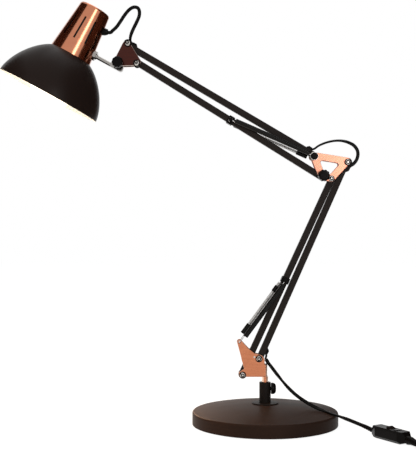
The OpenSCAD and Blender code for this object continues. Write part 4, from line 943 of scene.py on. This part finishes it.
# %% Plastics and rubber
coating("moulded_black", ("#080606", "#0d0a09"), 15, (0.2, 0.3), 0.5, 0.008, 0.05,
        "post_knob", "elbow_knob", "head_knob", "elbow_pin_caps", "switch_body", "plug_body",
        "turret_cable_clip", "cable_gland", "lower_cable_grommets", "upper_cable_grommets",
        "lower_spring_clip", "upper_spring_clip")
coating("black_nylon_washer", ("#0d0b0b", "#141212"), 8, (0.4, 0.52), 0.4, 0.006, 0.05,
        "turret_washers", "elbow_washers", "head_washers")
coating("switch_rocker_black", ("#0f0c0b", "#161211"), 10, (0.24, 0.34), 0.5, 0.008, 0.07, "switch_rocker")
coating("cord", ("#080706", "#0e0c0b"), 40, (0.18, 0.28), 0.6, 0.006, 0.06, "lower_cable", "upper_cable")
coating("sleeve_tubing", ("#080706", "#0e0c0b"), 14, (0.16, 0.26), 0.8, 0.01, 0.12)
coating("rubber_pad", ("#1b1a19", "#23211f"), 20, (0.75, 0.9), 0.5, 0.02, 0.25, "foot_pad")
print("plastics dressed")

# %% [markdown]
# The shade's outside is the same stoved enamel, a touch browner and softer in gloss. Its inside
# is matt white. The bulb is opal glass and lit: it glows evenly with a warm white, and the white
# inside of the shade takes up that light. The lampholder is black phenolic.

# %% Shade, bulb and holder
coating("shade_outside", ("#17100e", "#1e1613"), 80, (0.3, 0.4), 0.7, 0.008, 0.07)
coating("shade_inside", ("#efece4", "#f6f4ee"), 30, (0.5, 0.62), 0.7, 0.010, PLAIN)
tree, shader, tone, _ = coating("opal_bulb", ("#fff3df", "#fff8ec"), 25, (0.25, 0.35), 0.8, 0.002, PLAIN,
                                "bulb_glass")
tree.links.new(tone.outputs[2], shader.inputs["Emission Color"])
shader.inputs["Emission Strength"].default_value = 1.7
coating("black_phenolic", ("#161210", "#1e1916"), 20, (0.3, 0.42), 1.5, 0.01, PLAIN, "lampholder")
print("finishes made:", len(finishes))

# %% [markdown]
# Now every finish goes on. The model's pieces take theirs from the list that was filled as we
# went, and the new pieces from the name they were made with.

# %% Putting the finishes on
for node_name, finish_name in dressing.items():
    materials = nodes[node_name].data.materials
    materials.clear()
    materials.append(finishes[finish_name])
for obj, names in waiting_for_finish:
    for finish_name in names:
        obj.data.materials.append(finishes[finish_name])
print("dressed:", len(dressing), "new pieces:", len(waiting_for_finish))

# %% [markdown]
# The table top is a plain pale sheet that runs back out of sight. To the camera and to
# polished metal it looks white, as the photographer's ground does, yet it still takes the lamp's
# soft shadow. So its white comes partly from its own colour and partly from a plain glow that
# only those rays see.

# %% The floor
def emptied(owner):
    """The node tree of a material or a world, with nothing in it."""
    owner.use_nodes = True
    owner.node_tree.nodes.clear()
    return owner.node_tree


def seen_directly(tree):
    """1 for rays from the camera, from a mirror or through glass, and 0 for all others."""
    rays = add(tree, "ShaderNodeLightPath").outputs
    seen = rays["Is Camera Ray"]
    for kind in ("Is Glossy Ray", "Is Transmission Ray"):
        seen = add(tree, "ShaderNodeMath", {0: seen, 1: rays[kind]}, operation="MAXIMUM").outputs[0]
    return seen


def mottled_matt(tree, scale, tones):
    """A matt surface whose colour wanders between two tones."""
    place = add(tree, "ShaderNodeTexCoord").outputs["Object"]
    grain = add(tree, "ShaderNodeTexNoise", {"Vector": place, "Scale": scale})
    colour = add(tree, "ShaderNodeMix", {0: grain.outputs["Fac"], 6: to_linear(tones[0]),
                                         7: to_linear(tones[1])}, data_type="RGBA")
    return add(tree, "ShaderNodeBsdfDiffuse", {"Color": colour.outputs[2]})


bm = bmesh.new()
bmesh.ops.create_grid(bm, x_segments=1, y_segments=1, size=6)
bmesh.ops.translate(bm, vec=(0, 0, -0.0002), verts=bm.verts)
floor = into_scene("floor", bm)
paper = bpy.data.materials.new("white_paper_ground")
tree = emptied(paper)
share = add(tree, "ShaderNodeMath", {0: seen_directly(tree), 1: 0.8}, operation="MULTIPLY")
matt = mottled_matt(tree, 700.0, ("#f1f0ee", "#f7f6f4"))
glow = add(tree, "ShaderNodeEmission", {"Color": (1, 1, 1, 1), "Strength": 1.14})
mixed = add(tree, "ShaderNodeMixShader", {0: share.outputs[0], 1: matt.outputs[0], 2: glow.outputs[0]})
add(tree, "ShaderNodeOutputMaterial", {"Surface": mixed.outputs[0]})
floor.data.materials.append(paper)
print("floor laid")

# %% [markdown]
# Light. A large soft box stands to the upper left in front, a narrower one to the right, and a
# third hangs above. The metals mirror the last two and not the first, and the camera sees none.
# A warm box behind on the left gives only a sheen, and only to the foot. The bulb's own light
# rides with the head. The room is white to the eye and to mirrors, and half as bright to
# everything else. Bounced rays alone find it, because aiming rays at it speckled the dark bands
# of the neck.

# %% Room and lamps
world = bpy.data.worlds.new("white_room")
scene.world = world
world.cycles.sampling_method = "NONE"
tree = emptied(world)
level = add(tree, "ShaderNodeMapRange", {"Value": seen_directly(tree), "To Min": 0.5, "To Max": 1.0})
room = add(tree, "ShaderNodeBackground", {"Color": (1, 1, 1, 1), "Strength": level.outputs[0]})
add(tree, "ShaderNodeOutputWorld", {"Surface": room.outputs[0]})


def soft_box(name, place, aim, width, height, watts, mirrored=True, colour="#ffffff"):
    """A soft box that looks at aim, unseen by the camera."""
    data = bpy.data.lights.new(name, "AREA")
    data.shape = "RECTANGLE"
    data.size, data.size_y = width, height
    data.energy = watts
    data.color = to_linear(colour)[:3]
    lamp = bpy.data.objects.new(name, data)
    lamp.location = place
    lamp.rotation_euler = (Vector(aim) - Vector(place)).to_track_quat("-Z", "Y").to_euler()
    lamp.visible_glossy = mirrored
    lamp.visible_camera = False
    scene.collection.objects.link(lamp)
    return lamp


soft_box("soft_box_left", (-1.1, -1.5, 1.3), (-0.1, 0, 0.3), 0.9, 0.9, 16, mirrored=False)
soft_box("soft_box_right", (0.62, -1.85, 0.6), (-0.2, 0, 0.45), 0.4, 1.1, 8)
soft_box("soft_box_above", (0.1, 0.3, 1.6), (0, 0, 0.2), 1.0, 1.0, 4)
sheen = soft_box("sheen_on_the_foot", (-0.75, 1.35, 0.75), (0, 0, 0), 0.6, 0.5, 24, colour="#ffcfab")
sheen.visible_diffuse = False
sheen_takers = bpy.data.collections.new("takes_the_sheen")
sheen_takers.objects.link(nodes["foot_shell"])
sheen.light_linking.receiver_collection = sheen_takers
bulb_light = soft_box("light_of_the_bulb", metres(head_point(0, -24)), metres(head_point(0, -124)),
                      0.05, 0.05, 7, mirrored=False, colour="#ffd9b0")
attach(bulb_light, "head")
print("lamps:", len(bpy.data.lights))

# %% [markdown]
# A polished cylinder in a white room has no shape: it mirrors white all round. The photographer
# hangs dark cards beside the lamp, and their reflections draw the dark edges of the neck. Ours
# are dark brown felt and seen by mirror rays only, so they neither shade the lamp nor show in
# the picture.

# %% Dark cards for the mirrors
def dark_card(name, corners):
    bm = bmesh.new()
    bm.faces.new([bm.verts.new(c) for c in corners])
    card = into_scene(name, bm)
    card.data.materials.append(felt)
    card.visible_camera = False
    card.visible_diffuse = False
    card.visible_transmission = False
    card.visible_shadow = False


felt = bpy.data.materials.new("dark_card_felt")
tree = emptied(felt)
matt = mottled_matt(tree, 40.0, ("#4a332a", "#584036"))
add(tree, "ShaderNodeOutputMaterial", {"Surface": matt.outputs[0]})


CARD_AWAY, CARD_TOP = 2.6, 3.2


def standing_card(name, first_angle, last_angle):
    """A card from one angle round the lamp to another; the camera stands at -90 degrees."""
    (ax, ay), (bx, by) = [(CARD_AWAY * math.cos(math.radians(d)), CARD_AWAY * math.sin(math.radians(d)))
                          for d in (first_angle, last_angle)]
    dark_card(name, [(ax, ay, 0), (bx, by, 0), (bx, by, CARD_TOP), (ax, ay, CARD_TOP)])


standing_card("card_left", -225, -140)
standing_card("card_right", -42, 74)
dark_card("card_on_the_table", [
    (0.42, -1.6, 0.001), (1.7, -1.6, 0.001), (1.7, 0.9, 0.001), (0.42, 0.9, 0.001)])
print("dark cards hung")

# %% View settings
view_settings = scene.view_settings
view_settings.view_transform = "Standard"
print("view transform:", view_settings.view_transform)
